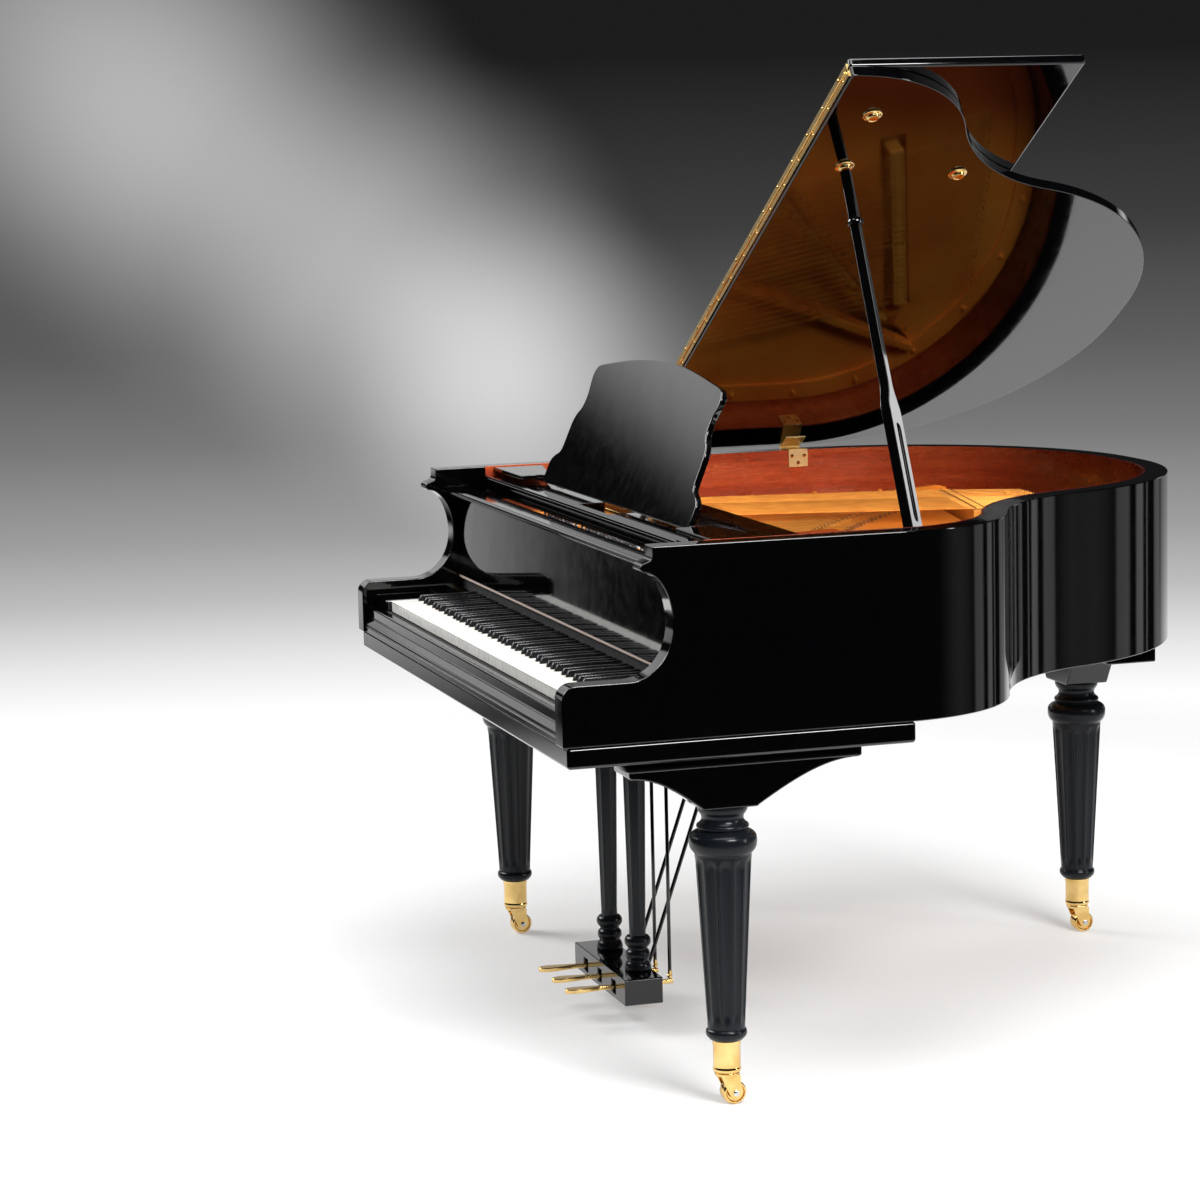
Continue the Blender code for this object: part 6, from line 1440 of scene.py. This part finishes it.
for name, (x, y) in LEGS.items():
    leg = piece(f"leg_{name}_piece", leg_shape[0] + (x, y, 0.0), leg_shape[1], "case", SATIN_BLACK_PAINTED_SHEEN,
                [f"leg_{name}"], sharp=radians(50.0))


# Ferrules, casters and wheels
# A cast and polished brass cup on each leg's foot, a fork that swivels under it on a plate, and a
# solid brass wheel on an axle bolt through the fork's cheeks.

AXLE_Z, WHEEL_WIDTH, FORK_CHEEK, FORK_TOP, TRAIL = 0.0215 * cos(pi / 16), 0.027, 0.004, 0.0587, 0.010
WHEEL_RADIUS = AXLE_Z - 0.0001

ferrule = lathe([(0.0, 0.1148), (0.0235, 0.1150), (0.0250, 0.1140), (0.0252, 0.1090), (0.0246, 0.1070),
                 (0.0241, 0.1050), (0.0240, 0.0680), (0.0243, 0.0660), (0.0250, 0.0645),
                 (0.0250, 0.0615), (0.0240, 0.0594), (0.0, 0.0592)], 40)
swivel = lathe([(0.0, FORK_TOP), (0.0205, FORK_TOP), (0.0222, FORK_TOP - 0.0016),
                (0.0225, FORK_TOP - 0.0050), (0.0215, FORK_TOP - 0.0078), (0.0, FORK_TOP - 0.0080)], 36)
wheel_half = WHEEL_WIDTH / 2
hub_half = wheel_half + 0.0009
wheel = lathe([(0.0, -hub_half), (0.0066, -hub_half), (0.0070, -hub_half + 0.0012),
               (0.0074, -wheel_half + 0.0030), (0.0150, -wheel_half + 0.0024),
               (0.0168, -wheel_half), (0.0188, -wheel_half), (0.0206, -wheel_half + 0.0018),
               (WHEEL_RADIUS, -wheel_half + 0.0042), (WHEEL_RADIUS, -0.0015), (0.0203, -0.0008),
               (0.0203, 0.0008), (WHEEL_RADIUS, 0.0015), (WHEEL_RADIUS, wheel_half - 0.0042),
               (0.0206, wheel_half - 0.0018), (0.0188, wheel_half), (0.0168, wheel_half),
               (0.0150, wheel_half - 0.0024), (0.0074, wheel_half - 0.0030),
               (0.0070, hub_half - 0.0012), (0.0066, hub_half), (0.0, hub_half)], 40, "X")
cheek_line = spun([(-0.016, FORK_TOP - 0.004), (0.016, FORK_TOP - 0.004), (0.0185, 0.0420),
                   (TRAIL + 0.0112, AXLE_Z + 0.008), (TRAIL + 0.0105, AXLE_Z - 0.004),
                   (TRAIL + 0.003, AXLE_Z - 0.0098), (TRAIL - 0.006, AXLE_Z - 0.0085),
                   (TRAIL - 0.012, AXLE_Z - 0.001), (-0.011, 0.0400), (-0.016, FORK_TOP - 0.006)], 4)
axle_head = lathe([(0.0, 0.0006), (0.0050, 0.0), (0.0052, -0.0012), (0.0038, -0.0022), (0.0, -0.0026)],
                  20, "X")
cheek_in = wheel_half + 0.0012
for name, (x, y) in LEGS.items():
    made = piece(f"ferrule_{name}", ferrule[0] + (x, y, 0.0), ferrule[1], "case", BRASS,
                 [f"leg_ferrule_{name}"], sharp=radians(50.0))
    cheeks = [mould(cheek_line, side * cheek_in, side * (cheek_in + FORK_CHEEK)) for side in (-1, 1)]
    fork = piece(f"fork_{name}", *together(swivel, *cheeks), f"{name}_caster", BRASS,
                 [f"caster_fork_{name}"], at=np.array(Matrix.Translation((x, y, 0.0))))
    soften(fork, 0.0008, 2, radians(40.0))
    heads = [(axle_head[0] * (side * -1.0, 1.0, 1.0) + (side * (cheek_in + FORK_CHEEK), TRAIL, AXLE_Z),
              axle_head[1]) for side in (-1, 1)]
    made = piece(f"axle_bolt_{name}", *together(*heads), f"{name}_caster", STEEL,
                 at=np.array(Matrix.Translation((x, y, 0.0))))
    made = piece(f"wheel_{name}", wheel[0] + (x, y + TRAIL, AXLE_Z), wheel[1], f"{name}_wheel", BRASS,
                 [f"caster_wheel_{name}"])


# Lyre, braces and pedals
# A lacquered head block, two fluted columns with ring feet and a box with three slots, stayed by
# two rods. Cast brass pedals pivot in the box and lift wooden rods behind it.

LYRE_X, LYRE_Y = 0.090, 0.322
LYRE_LOW, LYRE_HIGH = (-0.165, 0.272, 0.048), (0.165, 0.347, 0.098)
PEDAL_PITCH, PEDAL_Y, PEDAL_Z, PEDAL_THICK, PEDAL_TIP_Y = 0.090, 0.312, 0.069, 0.008, 0.176

head_profile = np.concatenate([[(LYRE_Y - 0.028, KEYBED_BOTTOM - 0.025), (LYRE_Y + 0.028, KEYBED_BOTTOM - 0.025)],
                               [(LYRE_Y + 0.032, KEYBED_BOTTOM - 0.020), (LYRE_Y + 0.032, KEYBED_BOTTOM - FIT),
                                (LYRE_Y - 0.032, KEYBED_BOTTOM - FIT), (LYRE_Y - 0.032, KEYBED_BOTTOM - 0.020)]])
column = taper((0.1660, 0.0157), (0.6000, 0.0239), 0.016, 7)
foot_line = spun([(0.0200, 0.0984), (0.0248, 0.0988), (0.0252, 0.1040), (0.0235, 0.1110), (0.0202, 0.1160),
                  (0.0205, 0.1195), (0.0230, 0.1240), (0.0234, 0.1290), (0.0222, 0.1340),
                  (0.0188, 0.1385), (0.0188, 0.1420), (0.0225, 0.1465), (0.0250, 0.1520),
                  (0.0242, 0.1590), (0.0205, 0.1640), (0.0175, 0.1652)], 3)
column_shape = fluted(np.concatenate([foot_line, column]), 8, 0.10, 0.1680, 0.5960, 0.008)
lyre = piece("lyre", *together(mould(head_profile, -0.150, 0.150),
                               *[(column_shape[0] + (x, LYRE_Y, 0.0), column_shape[1])
                                 for x in (-LYRE_X, LYRE_X)]), "case", SATIN_BLACK_PAINTED_SHEEN, ["lyre_columns"],
             sharp=radians(50.0))
refined("lyre_box", "case", EBONY, 0.0022, 3)
for name, side in (("bass", -1), ("treble", 1)):
    x = side * 0.040
    bend = spun([(0.3475, 0.090), (0.3535, 0.0905), (0.3590, 0.0960), (0.3680, 0.118)], 4)
    line = np.concatenate([bend, [(0.4100, 0.2378), (0.4850, 0.4517), (0.5425, 0.6155)]])
    line = np.column_stack([np.full(len(line), x), line])
    brace = piece(f"brace_{name}", *tubes(line[None], [0.0038], 14), "case", EBONY,
                  [f"lyre_brace_{name}"])

pedal_half = spun([(0.0060, 0.3900), (0.0062, 0.3000), (0.0065, 0.2500), (0.0078, 0.2350),
                   (0.0105, 0.2200), (0.0124, 0.2060), (0.0126, 0.1930), (0.0106, 0.1840),
                   (0.0072, 0.1785), (0.0, PEDAL_TIP_Y)], 4)
pedal_line = np.concatenate([pedal_half, pedal_half[-2::-1] * (-1.0, 1.0)])
pedal_body = slab(pedal_line, PEDAL_Z - PEDAL_THICK / 2, PEDAL_Z + PEDAL_THICK / 2)
pedal_pin = lathe([(0.0, -0.0120), (0.0030, -0.0120), (0.0030, 0.0120), (0.0, 0.0120)], 16, "X")
rod_body = lathe([(0.0, PEDAL_Z + 0.0200), (0.0033, PEDAL_Z + 0.0200), (0.0035, PEDAL_Z + 0.0215),
                  (0.0035, 0.6435), (0.0028, 0.6450), (0.0, 0.6450)], 16)
rod_nut = lathe([(0.0, PEDAL_Z + 0.0048), (0.0020, PEDAL_Z + 0.0048), (0.0034, PEDAL_Z + 0.0064),
                 (0.0050, PEDAL_Z + 0.0070), (0.0050, PEDAL_Z + 0.0120), (0.0040, PEDAL_Z + 0.0130),
                 (0.0040, PEDAL_Z + 0.0210), (0.0, PEDAL_Z + 0.0212)], 18)
for name, side in (("left", -1), ("middle", 0), ("right", 1)):
    x = side * PEDAL_PITCH
    pedal = piece(f"pedal_{name}_piece", *together(pedal_body, (pedal_pin[0] + (0.0, PEDAL_Y, PEDAL_Z),
                                                                pedal_pin[1])), f"{name}_pedal", BRASS,
                  [f"pedal_{name}"], at=np.array(Matrix.Translation((x, 0.0, 0.0))))
    soften(pedal, 0.0018, 3, radians(45.0))
    rod = piece(f"rod_{name}", rod_body[0] + (x, 0.385, 0.0), rod_body[1], f"{name}_rod", EBONY,
                [f"pedal_rod_{name}"])
    nut = piece(f"rod_nut_{name}", rod_nut[0] + (x, 0.385, 0.0), rod_nut[1], f"{name}_rod", BRASS)
